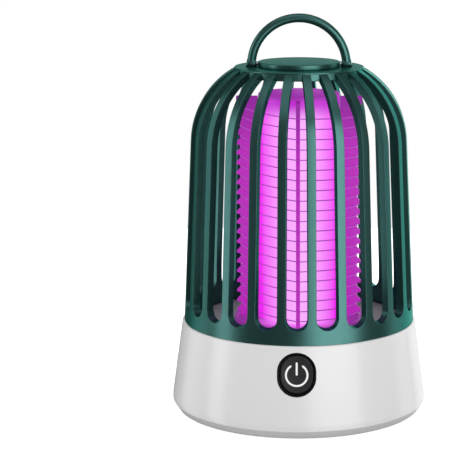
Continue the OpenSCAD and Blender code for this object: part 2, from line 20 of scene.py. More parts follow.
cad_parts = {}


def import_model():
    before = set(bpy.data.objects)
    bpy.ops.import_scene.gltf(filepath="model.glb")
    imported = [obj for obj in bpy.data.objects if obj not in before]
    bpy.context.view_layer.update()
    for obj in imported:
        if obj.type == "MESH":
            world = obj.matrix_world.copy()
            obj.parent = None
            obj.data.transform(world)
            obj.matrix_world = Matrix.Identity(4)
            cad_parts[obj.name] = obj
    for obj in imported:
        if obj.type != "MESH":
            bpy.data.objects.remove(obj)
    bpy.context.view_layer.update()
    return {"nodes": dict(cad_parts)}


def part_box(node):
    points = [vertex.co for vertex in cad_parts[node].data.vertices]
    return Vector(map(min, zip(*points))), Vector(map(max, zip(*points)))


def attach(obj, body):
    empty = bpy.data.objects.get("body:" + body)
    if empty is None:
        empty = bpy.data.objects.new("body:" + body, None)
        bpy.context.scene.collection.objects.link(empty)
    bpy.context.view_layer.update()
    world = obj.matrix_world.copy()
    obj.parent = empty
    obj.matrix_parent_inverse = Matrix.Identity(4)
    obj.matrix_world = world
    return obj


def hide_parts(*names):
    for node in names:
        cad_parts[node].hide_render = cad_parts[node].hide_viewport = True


LOG = logging.getLogger("zapper")
MM = 0.001
WELD = 2e-6
SPILL_SHARE = 0.3

Flat = tuple[float, float]
Corner = tuple[float, float, float]
Rgb = tuple[float, float, float]


class Slot(str, Enum):
    """Material slots of the record, passed with each new piece but not read."""

    HOUSING = "housing"
    COVER = "cover"
    RUBBER = "rubber"
    DECK = "deck"
    CORE = "core_plastic"
    WIRE = "wire"
    DIFFUSER = "diffuser"
    LAMP_CAP = "lamp_cap"
    BUTTON_BLACK = "button_black"
    BUTTON_GREY = "button_grey"
    SYMBOL = "symbol"
    CAGE = "cage"
    STEEL = "steel"


class Body(str, Enum):
    """Bodies of the frame."""

    BASE = "base"
    BUTTON = "button"
    CAGE = "cage"
    HANDLE = "handle"


# ---- Outlines and meshes ----


def arc(centre: Flat, radius: float, start: float, end: float, steps: int) -> list[Flat]:
    """Points along a circular arc.

    Args:
        centre: The arc's centre.
        radius: Its radius.
        start: Start angle in degrees.
        end: End angle in degrees.
        steps: Number of stretches.

    Returns:
        steps + 1 points.
    """
    turns = [math.radians(start + (end - start) * i / steps) for i in range(steps + 1)]
    return [(centre[0] + radius * math.cos(t), centre[1] + radius * math.sin(t)) for t in turns]


def rounded(corners: Sequence[Corner], steps: int = 5) -> list[Flat]:
    """A closed outline with its corners rounded.

    Args:
        corners: (x, y, rounding radius) of each corner in order.
        steps: Stretches in each rounding.

    Returns:
        The outline's points.
    """
    points: list[Flat] = []
    count = len(corners)
    for i, (x, y, radius) in enumerate(corners):
        here = Vector((x, y))
        if radius <= 0:
            points.append((x, y))
            continue
        back = Vector(corners[i - 1][:2]) - here
        ahead = Vector(corners[(i + 1) % count][:2]) - here
        half = back.angle(ahead) / 2
        reach = min(radius / math.tan(half), 0.49 * back.length, 0.49 * ahead.length)
        size = reach * math.tan(half)
        back.normalize()
        ahead.normalize()
        middle = here + (back + ahead).normalized() * size / math.sin(half)
        first = here + back * reach - middle
        last = here + ahead * reach - middle
        turn = first.angle_signed(last)
        for k in range(steps + 1):
            spoke = first.copy()
            spoke.rotate(Matrix.Rotation(-turn * k / steps, 2))
            points.append(tuple(middle + spoke))
    return points


class Shape:
    """A mesh in the making, in millimetres."""

    def __init__(self, name: str) -> None:
        """Starts an empty mesh for the piece of that name."""
        self.name = name
        self.mesh = bmesh.new()

    def net(self, rows: Sequence[Sequence[Vector]], ring: bool = False, loop: bool = False) -> None:
        """Adds a net of four-sided faces.

        Args:
            rows: Rows of points, all of one length.
            ring: Whether each row closes on itself.
            loop: Whether the last row joins the first.
        """
        made = [[self.mesh.verts.new(p) for p in row] for row in rows]
        if loop:
            made.append(made[0])
        width = len(made[0])
        for low, high in zip(made, made[1:]):
            for k in range(width if ring else width - 1):
                after = (k + 1) % width
                self.mesh.faces.new((low[k], low[after], high[after], high[k]))

    def lathe(self, outline: Sequence[Flat], steps: int = 192, place: Matrix | None = None) -> None:
        """Turns a closed (radius, height) outline about Z.

        Args:
            outline: The outline's points.
            steps: Stretches round the axis.
            place: Where the turned shape goes.
        """
        place = place or Matrix.Identity(4)
        turns = [math.tau * i / steps for i in range(steps)]
        rows = [
            [place @ Vector((r * math.cos(t), r * math.sin(t), z)) for t in turns]
            for r, z in outline
        ]
        self.net(rows, ring=True, loop=True)

    def prism(
        self, outline: Sequence[Flat], low: float, high: float, place: Matrix | None = None
    ) -> None:
        """Raises a flat outline from low to high along its own Z.

        Args:
            outline: The outline's points, anticlockwise.
            low: Height of its underside.
            high: Height of its top.
            place: Where the block goes.
        """
        place = place or Matrix.Identity(4)
        rings = [
            [self.mesh.verts.new(place @ Vector((x, y, z))) for x, y in outline]
            for z in (low, high)
        ]
        self.mesh.faces.new(rings[0][::-1])
        self.mesh.faces.new(rings[1])
        count = len(outline)
        for k in range(count):
            after = (k + 1) % count
            self.mesh.faces.new((rings[0][k], rings[0][after], rings[1][after], rings[1][k]))

    def tube(self, path: Sequence[Vector], radius: float, sides: int) -> None:
        """Sweeps a round rod along a path, with closed ends.

        Args:
            path: Points of the centreline.
            radius: The rod's radius.
            sides: Stretches round the rod.
        """
        rows = []
        side = Vector((0, 0, 1))
        for i, point in enumerate(path):
            along = (path[min(i + 1, len(path) - 1)] - path[max(i - 1, 0)]).normalized()
            side = (side - along * side.dot(along)).normalized()
            other = along.cross(side)
            turns = [math.tau * k / sides for k in range(sides)]
            spokes = [math.cos(t) * side + math.sin(t) * other for t in turns]
            rows.append([point + radius * spoke for spoke in spokes])
        made = [[self.mesh.verts.new(p) for p in row] for row in rows]
        for low, high in zip(made, made[1:]):
            for k in range(sides):
                after = (k + 1) % sides
                self.mesh.faces.new((low[k], low[after], high[after], high[k]))
        self.mesh.faces.new(made[0][::-1])
        self.mesh.faces.new(made[-1])

    def close(self, crease: float = 35.0) -> bpy.types.Object:
        """Welds the mesh, turns its faces outwards and makes it an object in metres.

        Args:
            crease: Edges that bend by more than this many degrees are shaded sharp.

        Returns:
            The object, linked to the scene.
        """
        self.mesh.transform(Matrix.Scale(MM, 4))
        bmesh.ops.remove_doubles(self.mesh, verts=self.mesh.verts, dist=WELD)
        bmesh.ops.dissolve_degenerate(self.mesh, edges=self.mesh.edges, dist=WELD)
        bmesh.ops.recalc_face_normals(self.mesh, faces=self.mesh.faces)
        data = bpy.data.meshes.new(self.name)
        self.mesh.to_mesh(data)
        self.mesh.free()
        obj = bpy.data.objects.new(self.name, data)
        bpy.context.scene.collection.objects.link(obj)
        data.shade_smooth()
        data.set_sharp_from_angle(angle=math.radians(crease))
        return obj


def join_solid(obj: bpy.types.Object, other: bpy.types.Object, operation: str) -> bpy.types.Object:
    """Cuts a solid from another, or unites the two, and keeps the result as the first one's mesh.

    Args:
        obj: The object that changes.
        other: The solid to cut away or add, removed afterwards.
        operation: DIFFERENCE or UNION.

    Returns:
        The changed object.
    """
    tool = obj.modifiers.new("solid", "BOOLEAN")
    tool.operation = operation
    tool.solver = "EXACT"
    tool.object = other
    bpy.context.view_layer.update()
    graph = bpy.context.evaluated_depsgraph_get()
    data = bpy.data.meshes.new_from_object(obj.evaluated_get(graph))
    obj.modifiers.clear()
    obj.data = data
    bpy.data.objects.remove(other)
    return obj


def soften(obj: bpy.types.Object, width: float, segments: int = 3, angle: float = 40.0) -> None:
    """Rounds the edges of a piece.

    Args:
        obj: The piece.
        width: Width of the rounding in millimetres.
        segments: Faces across it.
        angle: Only edges that bend by more than this many degrees are rounded.
    """
    for edge in obj.data.edges:
        edge.use_edge_sharp = False
    bevel = obj.modifiers.new("rounding", "BEVEL")
    bevel.width = width * MM
    bevel.segments = segments
    bevel.limit_method = "ANGLE"
    bevel.angle_limit = math.radians(angle)
    bevel.harden_normals = True
    bevel.miter_outer = "MITER_ARC"


def finish_piece(
    obj: bpy.types.Object,
    material: bpy.types.Material,
    body: Body,
    slot: Slot,
    *nodes: str,
) -> bpy.types.Object:
    """Dresses a new piece, hangs it on its body and hides the CAD nodes it stands for.

    Args:
        obj: The piece.
        material: Its finish.
        body: The body that it moves with.
        slot: The record's slot of that finish; not used.
        nodes: The CAD nodes that it replaces.

    Returns:
        The same piece.
    """
    obj.data.materials.clear()
    obj.data.materials.append(material)
    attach(obj, body.value)
    if nodes:
        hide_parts(*nodes)
    LOG.info("%s: %d faces", obj.name, len(obj.data.polygons))
    return obj


# ---- Shared surface effects ----


class Graph:
    """A node tree with short ways to add and join nodes."""

    def __init__(self, tree: bpy.types.NodeTree) -> None:
        """Wraps a node tree."""
        self.tree = tree

    def add(self, kind: str, **values: object) -> bpy.types.Node:
        """Adds a node.

        Args:
            kind: The node's type without its ShaderNode prefix.
            values: Properties of the node, and inputs named with capitals and underscores.

        Returns:
            The node.
        """
        node = self.tree.nodes.new("ShaderNode" + kind)
        for name, value in values.items():
            if name[0].isupper():
                node.inputs[name.replace("_", " ")].default_value = value
            else:
                setattr(node, name, value)
        return node

    def join(self, start: bpy.types.NodeSocket, end: bpy.types.NodeSocket) -> None:
        """Links two sockets."""
        self.tree.links.new(start, end)

    def sum(self, kind: str, first: object, second: object) -> bpy.types.NodeSocket:
        """Adds a Math node.

        Args:
            kind: The operation.
            first: A socket or a number.
            second: A socket or a number.

        Returns:
            Its result socket.
        """
        node = self.add("Math", operation=kind)
        for place, value in enumerate((first, second)):
            if isinstance(value, bpy.types.NodeSocket):
                self.join(value, node.inputs[place])
            else:
                node.inputs[place].default_value = value
        return node.outputs[0]

    def spread(
        self, value: bpy.types.NodeSocket, span: tuple[float, float, float, float]
    ) -> bpy.types.NodeSocket:
        """Maps a value from one range to another, with clamping.

        Args:
            value: The socket to map.
            span: (from low, from high, to low, to high).

        Returns:
            The mapped socket.
        """
        node = self.add("MapRange")
        self.join(value, node.inputs["Value"])
        for name, number in zip(("From Min", "From Max", "To Min", "To Max"), span):
            node.inputs[name].default_value = number
        return node.outputs["Result"]


class Effects:
    """The shader node groups that more than one finish uses."""

    def __init__(self) -> None:
        """Builds every group once."""
        self.grain = self._group("MouldGrain", "Height", Size=0.4, Depth=1.0, Waviness=0.3)
        self.drift = self._group("ToneDrift", "Value", Patch=30.0, Amount=0.05)
        self.wear = self._group("EdgeWear", "Mask", Amount=0.3)
        self.dust = self._group("SettledDust", "Mask", Amount=0.2)
        # Painted shade on the lamp tube: its glow turns deeper and darker round the sides.
        self.glow = self._group("TubeGlowPaintedShade", "Mask", Low=-0.62, High=1.0)
        # Painted lamplight: mask for the glow painted on the combs and the core's foot, brighter
        # close to the tube.
        self.painted_spill = self._group("PaintedLampSpill", "Mask", Near=20.0, Far=31.0, Side=0.15, Top=160.0)
        self._build_grain()
        self._build_drift()
        self._build_wear()
        self._build_dust()
        self._build_glow()
        self._build_spill()

    @staticmethod
    def _group(name: str, output: str, **inputs: float) -> bpy.types.NodeTree:
        """Makes an empty group with its sockets, all of them numbers.

        Args:
            name: The group's name.
            output: The name of its output.
            inputs: Its inputs with their defaults.

        Returns:
            The group.
        """
        tree = bpy.data.node_groups.new(name, "ShaderNodeTree")
        for label, value in inputs.items():
            socket = tree.interface.new_socket(label, in_out="INPUT", socket_type="NodeSocketFloat")
            socket.default_value = value
        tree.interface.new_socket(output, in_out="OUTPUT", socket_type="NodeSocketFloat")
        return tree

    @staticmethod
    def _ends(tree: bpy.types.NodeTree) -> tuple[Graph, bpy.types.Node, bpy.types.Node]:
        """A graph on the group, with its input and output nodes."""
        return Graph(tree), tree.nodes.new("NodeGroupInput"), tree.nodes.new("NodeGroupOutput")

    @staticmethod
    def _noise(
        graph: Graph, size: bpy.types.NodeSocket | float, detail: float
    ) -> bpy.types.NodeSocket:
        """Noise over the object whose features are size millimetres across.

        Args:
            graph: The group's graph.
            size: Feature size in millimetres.
            detail: The noise's detail.

        Returns:
            The noise value.
        """
        place = graph.add("TexCoord")
        noise = graph.add("TexNoise", Detail=detail)
        graph.join(place.outputs["Object"], noise.inputs["Vector"])
        graph.join(graph.sum("DIVIDE", 1 / MM, size), noise.inputs["Scale"])
        return noise.outputs["Fac"]

    def _build_grain(self) -> None:
        """Fine moulded grain over a slow waviness, as a height in metres."""
        graph, start, end = self._ends(self.grain)
        fine = self._noise(graph, start.outputs["Size"], 3.0)
        slow = self._noise(graph, graph.sum("MULTIPLY", start.outputs["Size"], 40.0), 1.0)
        fine = graph.sum("MULTIPLY", fine, start.outputs["Depth"])
        slow = graph.sum("MULTIPLY", slow, start.outputs["Waviness"])
        graph.join(graph.sum("ADD", fine, slow), end.inputs["Height"])

    def _build_drift(self) -> None:
        """Slow drift of brightness about 1."""
        graph, start, end = self._ends(self.drift)
        noise = self._noise(graph, start.outputs["Patch"], 2.0)
        shift = graph.sum("MULTIPLY", graph.sum("SUBTRACT", noise, 0.5), start.outputs["Amount"])
        graph.join(graph.sum("ADD", graph.sum("MULTIPLY", shift, 2.0), 1.0), end.inputs["Value"])

    def _build_wear(self) -> None:
        """Patchy rubbing along outward edges."""
        graph, start, end = self._ends(self.wear)
        shape = graph.add("NewGeometry")
        edge = graph.spread(shape.outputs["Pointiness"], (0.53, 0.62, 0.0, 1.0))
        patches = graph.spread(self._noise(graph, 3.0, 4.0), (0.42, 0.66, 0.0, 1.0))
        mask = graph.sum("MULTIPLY", graph.sum("MULTIPLY", edge, patches), start.outputs["Amount"])
        graph.join(mask, end.inputs["Mask"])

    def _build_dust(self) -> None:
        """Thin dust on faces that look up."""
        graph, start, end = self._ends(self.dust)
        shape = graph.add("NewGeometry")
        split = graph.add("SeparateXYZ")
        graph.join(shape.outputs["Normal"], split.inputs[0])
        level = graph.spread(split.outputs["Z"], (0.55, 1.0, 0.0, 1.0))
        specks = graph.spread(self._noise(graph, 1.6, 5.0), (0.45, 0.75, 0.0, 1.0))
        mask = graph.sum("MULTIPLY", graph.sum("MULTIPLY", level, specks), start.outputs["Amount"])
        graph.join(mask, end.inputs["Mask"])

    @staticmethod
    def split_place(graph: Graph) -> bpy.types.Node:
        """The object's own coordinates, split.

        Args:
            graph: The graph to add the nodes to.

        Returns:
            The node with X, Y and Z as outputs.
        """
        place = graph.add("TexCoord")
        split = graph.add("SeparateXYZ")
        graph.join(place.outputs["Object"], split.inputs[0])
        return split

    def _front_wave(self, graph: Graph) -> bpy.types.NodeSocket:
        """1 in front of the two wide faces of the lit column, -1 beside them.

        Args:
            graph: The graph to add the nodes to.

        Returns:
            The wave's socket.
        """
        split = self.split_place(graph)
        turn = graph.sum("ARCTAN2", split.outputs["X"], split.outputs["Y"])
        return graph.sum("COSINE", graph.sum("MULTIPLY", turn, 2.0), 0.0)

    def _build_glow(self) -> None:
        """1 in front of the lit column's wide faces, falling to 0 round the tube's sides, where the
        glow is painted a deeper, darker magenta as shade.
        """
        graph, start, end = self._ends(self.glow)
        level = graph.add("MapRange")
        graph.join(self._front_wave(graph), level.inputs["Value"])
        graph.join(start.outputs["Low"], level.inputs["From Min"])
        graph.join(start.outputs["High"], level.inputs["From Max"])
        graph.join(level.outputs["Result"], end.inputs["Mask"])

    def _build_spill(self) -> None:
        """Painted lamplight mask: how much painted glow a spot takes, less away from the axis, to
        the sides and at the top.
        """
        graph, start, end = self._ends(self.painted_spill)
        split = self.split_place(graph)
        first = graph.sum("POWER", split.outputs["X"], 2.0)
        second = graph.sum("POWER", split.outputs["Y"], 2.0)
        reach = graph.sum("DIVIDE", graph.sum("SQRT", graph.sum("ADD", first, second), 0.0), MM)
        near = graph.add("MapRange", interpolation_type="SMOOTHSTEP", To_Min=1.0, To_Max=0.0)
        graph.join(reach, near.inputs["Value"])
        graph.join(start.outputs["Near"], near.inputs["From Min"])
        graph.join(start.outputs["Far"], near.inputs["From Max"])
        side = graph.spread(self._front_wave(graph), (-1.0, 0.6, 0.0, 1.0))
        side = graph.sum("MAXIMUM", side, start.outputs["Side"])
        height = graph.sum("DIVIDE", split.outputs["Z"], MM)
        top = graph.sum("SUBTRACT", start.outputs["Top"], height)
        top = graph.spread(top, (0.0, 22.0, 0.0, 1.0))
        mask = graph.sum("MULTIPLY", near.outputs["Result"], side)
        graph.join(graph.sum("MULTIPLY", mask, top), end.inputs["Mask"])


def lamp_level(graph: Graph) -> bpy.types.NodeSocket:
    """Full glow as seen, and a weaker one in the light that it throws on its surroundings."""
    path = graph.add("LightPath")
    return graph.spread(path.outputs["Is Camera Ray"], (0.0, 1.0, SPILL_SHARE, 1.0))


@dataclass(frozen=True)
class Finish:
    """A moulded, painted or metal surface, which may glow: the LEDs with their own light, other
    parts with painted lamplight.
    """

    name: str
    tint: Rgb
    metallic: float = 0.0
    roughness: float = 0.45
    coat: float = 0.0
    coat_roughness: float = 0.1
    specular: float = 0.5
    edge_tint: Rgb = (1.0, 1.0, 1.0)
    grain_size: float = 0.4
    grain_depth: float = 0.02
    waviness: float = 0.0
    drift: float = 0.04
    drift_patch: float = 25.0
    wear: float = 0.25
    wear_tint: Rgb = (0.8, 0.8, 0.8)
    dust: float = 0.15
    dust_tint: Rgb = (0.6, 0.58, 0.55)
    # light is the emission colour: the LEDs' own glow, and painted glow on the combs, core foot,
    # tube cap, wires and power mark.
    light: Rgb | None = None
    # Painted pool of lamplight: its colour close to the tube, spread by the painted spill mask
    # through near, far, side_share and light_top.
    painted_spill_near: Rgb | None = None
    near: float = 20.0
    far: float = 31.0
    side_share: float = 0.15
    light_top: float = 170.0

    def make(self, effects: Effects) -> bpy.types.Material:
        """Builds the material.

        Args:
            effects: The shared node groups.

        Returns:
            The material.
        """
        material = bpy.data.materials.new(self.name)
        material.use_nodes = True
        graph = Graph(material.node_tree)
        shader = material.node_tree.nodes["Principled BSDF"]
        shader.inputs["Metallic"].default_value = self.metallic
        shader.inputs["Coat Weight"].default_value = self.coat
        shader.inputs["Coat Roughness"].default_value = self.coat_roughness
        shader.inputs["Specular IOR Level"].default_value = self.specular
        shader.inputs["Specular Tint"].default_value = (*self.edge_tint, 1.0)
        colour = self._colour(graph, effects)
        graph.join(colour, shader.inputs["Base Color"])
        graph.join(self._roughness(graph, effects), shader.inputs["Roughness"])
        size, depth = self.grain_size, self.grain_depth
        grain = self._effect(graph, effects.grain, Size=size, Depth=depth, Waviness=self.waviness)
        bump = graph.add("Bump", Strength=1.0, Distance=MM)
        graph.join(grain.outputs["Height"], bump.inputs["Height"])
        graph.join(bump.outputs["Normal"], shader.inputs["Normal"])
        # Emission: the LEDs' own light, and painted glow on the other parts.
        if self.light:
            shader.inputs["Emission Color"].default_value = (*self.light, 1.0)
            graph.join(lamp_level(graph), shader.inputs["Emission Strength"])
        # Painted pool of lamplight, mixed in by the painted spill mask.
        if self.light and self.painted_spill_near:
            painted_spill = self._effect(
                graph,
                effects.painted_spill,
                Near=self.near,
                Far=self.far,
                Side=self.side_share,
                Top=self.light_top,
            )
            blend = graph.add("Mix", data_type="RGBA")
            graph.join(painted_spill.outputs["Mask"], blend.inputs["Factor"])
            blend.inputs["A"].default_value = (*self.light, 1.0)
            blend.inputs["B"].default_value = (*self.painted_spill_near, 1.0)
            graph.join(blend.outputs["Result"], shader.inputs["Emission Color"])
        return material

    @staticmethod
    def _effect(graph: Graph, tree: bpy.types.NodeTree, **values: float) -> bpy.types.Node:
        """Places a shared group in the material with its own values.

        Args:
            graph: The material's graph.
            tree: The shared group.
            values: Its inputs by name.

        Returns:
            The group's node.
        """
        node = graph.add("Group", node_tree=tree)
        for name, value in values.items():
            node.inputs[name].default_value = value
        return node

    def _colour(self, graph: Graph, effects: Effects) -> bpy.types.NodeSocket:
        """The tint with its drift, rubbed edges and dust.

        Args:
            graph: The material's graph.
            effects: The shared node groups.

        Returns:
            The colour's socket.
        """
        drift = self._effect(graph, effects.drift, Patch=self.drift_patch, Amount=self.drift)
        tone = graph.add("HueSaturation", Color=(*self.tint, 1.0))
        graph.join(drift.outputs["Value"], tone.inputs["Value"])
        colour = tone.outputs["Color"]
        wear = self._effect(graph, effects.wear, Amount=self.wear)
        dust = self._effect(graph, effects.dust, Amount=self.dust)
        for layer, tint in ((wear, self.wear_tint), (dust, self.dust_tint)):
            blend = graph.add("Mix", data_type="RGBA")
            graph.join(layer.outputs["Mask"], blend.inputs["Factor"])
            graph.join(colour, blend.inputs["A"])
            blend.inputs["B"].default_value = (*tint, 1.0)
            colour = blend.outputs["Result"]
        return colour

    def _roughness(self, graph: Graph, effects: Effects) -> bpy.types.NodeSocket:
        """Roughness that drifts slightly and rises under dust.

        Args:
            graph: The material's graph.
            effects: The shared node groups.

        Returns:
            The roughness socket.
        """
        drift = self._effect(graph, effects.drift, Patch=self.drift_patch / 6, Amount=0.12)
        dust = self._effect(graph, effects.dust, Amount=self.dust)
        rough = graph.sum("MULTIPLY", drift.outputs["Value"], self.roughness)
        return graph.sum("ADD", rough, graph.sum("MULTIPLY", dust.outputs["Mask"], 0.3))


@dataclass(frozen=True)
class LitTube:
    """The diffuser tube's finish: brightest before the lit column's wide faces, with painted shade
    of deeper, darker magenta round its sides, dim at its top.
    """

    name: str = "diffuser_glow"
    tint: Rgb = (0.10, 0.02, 0.11)
    roughness: float = 0.45
    drift_patch: float = 14.0
    drift: float = 0.04
    # bright is the glow in front of the column's wide faces; deep is painted shade on the tube's
    # sides.
    bright: Rgb = (0.93, 0.42, 0.97)
    deep: Rgb = (0.84, 0.012, 0.86)
    top: Rgb = (0.50, 0.015, 0.60)
    fade_low: float = 143.0
    fade_high: float = 152.5

    def make(self, effects: Effects) -> bpy.types.Material:
        """Builds the material.

        Args:
            effects: The shared node groups.

        Returns:
            The material.
        """
        material = bpy.data.materials.new(self.name)
        material.use_nodes = True
        graph = Graph(material.node_tree)
        shader = material.node_tree.nodes["Principled BSDF"]
        shader.inputs["Base Color"].default_value = (*self.tint, 1.0)
        shader.inputs["Roughness"].default_value = self.roughness
        glow = graph.add("Group", node_tree=effects.glow)
        drift = graph.add("Group", node_tree=effects.drift)
        drift.inputs["Patch"].default_value = self.drift_patch
        drift.inputs["Amount"].default_value = self.drift
        level = graph.sum("MULTIPLY", glow.outputs["Mask"], drift.outputs["Value"])
        colour = self._blend(graph, level, self.deep, self.bright)
        split = effects.split_place(graph)
        height = graph.add("MapRange", interpolation_type="SMOOTHSTEP")
        graph.join(split.outputs["Z"], height.inputs["Value"])
        height.inputs["From Min"].default_value = self.fade_low * MM
        height.inputs["From Max"].default_value = self.fade_high * MM
        faded = self._blend(graph, height.outputs["Result"], colour, self.top)
        graph.join(faded, shader.inputs["Emission Color"])
        graph.join(lamp_level(graph), shader.inputs["Emission Strength"])
        return material

    @staticmethod
    def _blend(
        graph: Graph, share: bpy.types.NodeSocket, first: object, second: Rgb
    ) -> bpy.types.NodeSocket:
        """Mixes two colours.

        Args:
            graph: The material's graph.
            share: How much of the second colour shows.
            first: A colour or a colour socket.
            second: A colour.

        Returns:
            The mixed colour.
        """
        blend = graph.add("Mix", data_type="RGBA")
        graph.join(share, blend.inputs["Factor"])
        if isinstance(first, bpy.types.NodeSocket):
            graph.join(first, blend.inputs["A"])
        else:
            blend.inputs["A"].default_value = (*first, 1.0)
        blend.inputs["B"].default_value = (*second, 1.0)
        return blend.outputs["Result"]


@dataclass
class Palette:
    """Every finish of the lantern, made once."""

    effects: Effects
    made: dict[str, bpy.types.Material] = field(default_factory=dict)

    def of(self, finish: Finish | LitTube) -> bpy.types.Material:
        """The material of a finish."""
        if finish.name not in self.made:
            self.made[finish.name] = finish.make(self.effects)
        return self.made[finish.name]


TEAL = Finish(
    "teal_lacquer",
    (0.056, 0.150, 0.138),
    metallic=0.92,
    roughness=0.34,
    coat=0.04,
    coat_roughness=0.2,
    edge_tint=(0.30, 0.78, 0.66),
    grain_size=0.35,
    grain_depth=0.005,
    waviness=0.01,
    wear=0.22,
    wear_tint=(0.16, 0.26, 0.24),
    dust=0.06,
    dust_tint=(0.2, 0.24, 0.23),
)
WHITE_GLOSS = Finish(
    "white_gloss",
    (0.80, 0.80, 0.80),
    roughness=0.30,
    coat=0.25,
    coat_roughness=0.15,
    grain_size=0.5,
    grain_depth=0.003,
    waviness=0.01,
    drift=0.012,
    wear=0.1,
    wear_tint=(0.7, 0.7, 0.69),
    dust=0.05,
)
WHITE_SATIN = Finish(
    "white_satin",
    (0.62, 0.62, 0.62),
    roughness=0.45,
    grain_depth=0.012,
    drift=0.02,
    wear=0.12,
)
RUBBER = Finish(
    "black_rubber",
    (0.03, 0.03, 0.032),
    roughness=0.85,
    grain_size=0.25,
    grain_depth=0.05,
)
DECK_GREY = Finish("deck_grey", (0.38, 0.38, 0.39), roughness=0.5, grain_depth=0.012)
COMB_PURPLE = Finish(
    "comb_purple",
    (0.10, 0.008, 0.12),
    roughness=0.45,
    grain_depth=0.006,
    drift=0.08,
    wear=0.15,
    wear_tint=(0.3, 0.08, 0.33),
    dust=0.0,
    # Painted lamplight: the combs glow purple, brighter below about 128 mm and dimming towards the
    # top.
    light=(0.25, 0.010, 0.29),
    painted_spill_near=(0.42, 0.014, 0.42),
    near=60.0,
    far=61.0,
    side_share=1.0,
    light_top=150.0,
)
FOOT_PURPLE = Finish(
    "foot_purple",
    (0.20, 0.02, 0.23),
    roughness=0.35,
    grain_depth=0.006,
    dust=0.0,
    # Painted lamplight: the foot glows, bright pink close to the tube and fading outwards and
    # towards the sides.
    light=(0.16, 0.008, 0.19),
    painted_spill_near=(0.95, 0.20, 1.0),
    near=19.0,
    far=33.0,
)
CAP_PURPLE = Finish(
    "cap_purple",
    (0.10, 0.01, 0.12),
    roughness=0.5,
    grain_depth=0.006,
    dust=0.0,
    # Painted lamplight: the cap glows purple though it is no lamp.
    light=(0.33, 0.025, 0.39),
)
WIRE_STEEL = Finish(
    "wire_steel",
    # Painted lamplight: the purple tint and the faint glow paint the lamp's light onto the steel
    # wires.
    (0.22, 0.07, 0.25),
    metallic=1.0,
    roughness=0.35,
    grain_size=0.2,
    grain_depth=0.004,
    wear=0.0,
    dust=0.0,
    light=(0.34, 0.045, 0.40),
)
STEEL = Finish(
    "bright_steel",
    (0.72, 0.73, 0.74),
    metallic=1.0,
    roughness=0.25,
    grain_size=0.2,
    grain_depth=0.004,
)
BEZEL_BLACK = Finish(
    "bezel_black",
    (0.003, 0.003, 0.004),
    roughness=0.25,
    specular=0.12,
    grain_depth=0.003,
    wear=0.03,
    dust=0.0,
)
CAP_GREY = Finish(
    "cap_grey",
    (0.024, 0.022, 0.025),
    roughness=0.3,
    specular=0.35,
    grain_depth=0.004,
    wear=0.1,
    dust=0.01,
)
SYMBOL_WHITE = Finish(
    "symbol_white",
    (0.9, 0.9, 0.9),
    roughness=0.4,
    grain_depth=0.003,
    wear=0.1,
    dust=0.0,
    # Painted brightness: a faint glow on the printed mark, which is no lamp.
    light=(0.12, 0.12, 0.12),
)
COLUMN_METAL = Finish(
    "brushed_aluminium",
    (0.55, 0.56, 0.58),
    metallic=1.0,
    roughness=0.42,
    grain_size=0.15,
)
LED_VIOLET = Finish("led_violet", (0.4, 0.25, 0.6), roughness=0.25, light=(0.7, 0.2, 1.0))
TINNED_LEAD = Finish("tinned_lead", (0.66, 0.64, 0.60), metallic=1.0, roughness=0.4)
BOARD_GREEN = Finish("board_green", (0.02, 0.16, 0.06), roughness=0.45, grain_size=0.8)
SPRUNG_BRASS = Finish("sprung_brass", (0.7, 0.5, 0.2), metallic=1.0, roughness=0.35)

INNER_FINISHES: dict[str, Finish] = {
    "cover_screws": STEEL,
    "deck_screws": STEEL,
    "core_screws": STEEL,
    "board_screws": STEEL,
    "switch_screws": STEEL,
    "disc_screws": STEEL,
    "grid_leads": TINNED_LEAD,
    "lamp_leads": TINNED_LEAD,
    "led_column": COLUMN_METAL,
    "led_strips": Finish("strip_white", (0.78, 0.78, 0.75), roughness=0.5),
    "uv_leds": LED_VIOLET,
    "control_board": BOARD_GREEN,
    "switch_board": BOARD_GREEN,
    "hv_transformer": Finish("coil_tape", (0.62, 0.42, 0.05), roughness=0.55, grain_size=0.6),
    "hv_capacitors": Finish("capacitor_blue", (0.02, 0.10, 0.32), roughness=0.3, coat=0.3),
    "control_chips": Finish("chip_black", (0.012, 0.012, 0.013), roughness=0.55),
    "battery_cell": Finish("cell_wrap", (0.02, 0.25, 0.14), roughness=0.35, coat=0.3),
    "battery_holder": Finish("holder_black", (0.015, 0.015, 0.016), roughness=0.6),
    "battery_contacts": SPRUNG_BRASS,
    "usb_socket": STEEL,
    "usb_tongue": Finish("tongue_black", (0.012, 0.012, 0.013), roughness=0.5),
    "switch_plunger": Finish("plunger_grey", (0.35, 0.35, 0.36), roughness=0.5),
    "tact_switch": Finish("switch_black", (0.014, 0.014, 0.015), roughness=0.5),
}


# ---- The frame's own measures ----


@dataclass(frozen=True)
class Measures:
    """Sizes read from the frame, in millimetres."""

    belt_r: float
    base_top: float
    cage_r: float
    flat_z: float
    disc_r: float
    disc_top: float
    handle_top: float
    flange_r: float
    flange_top: float
    tip_r: float
    lamp_r: float
    lamp_top: float
    deck_r: float
    deck_top: float

    @classmethod
    def read(cls) -> Measures:
        """Reads the boxes of the CAD nodes."""

        def high(node: str, axis: int) -> float:
            """Upper end of a node's box along an axis."""
            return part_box(node)[1][axis] / MM

        return cls(
            belt_r=high("base_shell", 0),
            base_top=high("base_shell", 2),
            cage_r=high("cage_band", 0),
            flat_z=high("cage_crown", 2),
            disc_r=high("top_disc", 0),
            disc_top=high("top_disc", 2),
            handle_top=high("carry_handle", 2),
            flange_r=high("core_flange", 0),
            flange_top=high("core_flange", 2),
            tip_r=high("grid_combs", 0),
            lamp_r=high("lamp_tube", 0),
            lamp_top=high("lamp_cap", 2),
            deck_r=high("deck_plate", 0),
            deck_top=high("deck_plate", 2),
        )


# ---- Cage ----


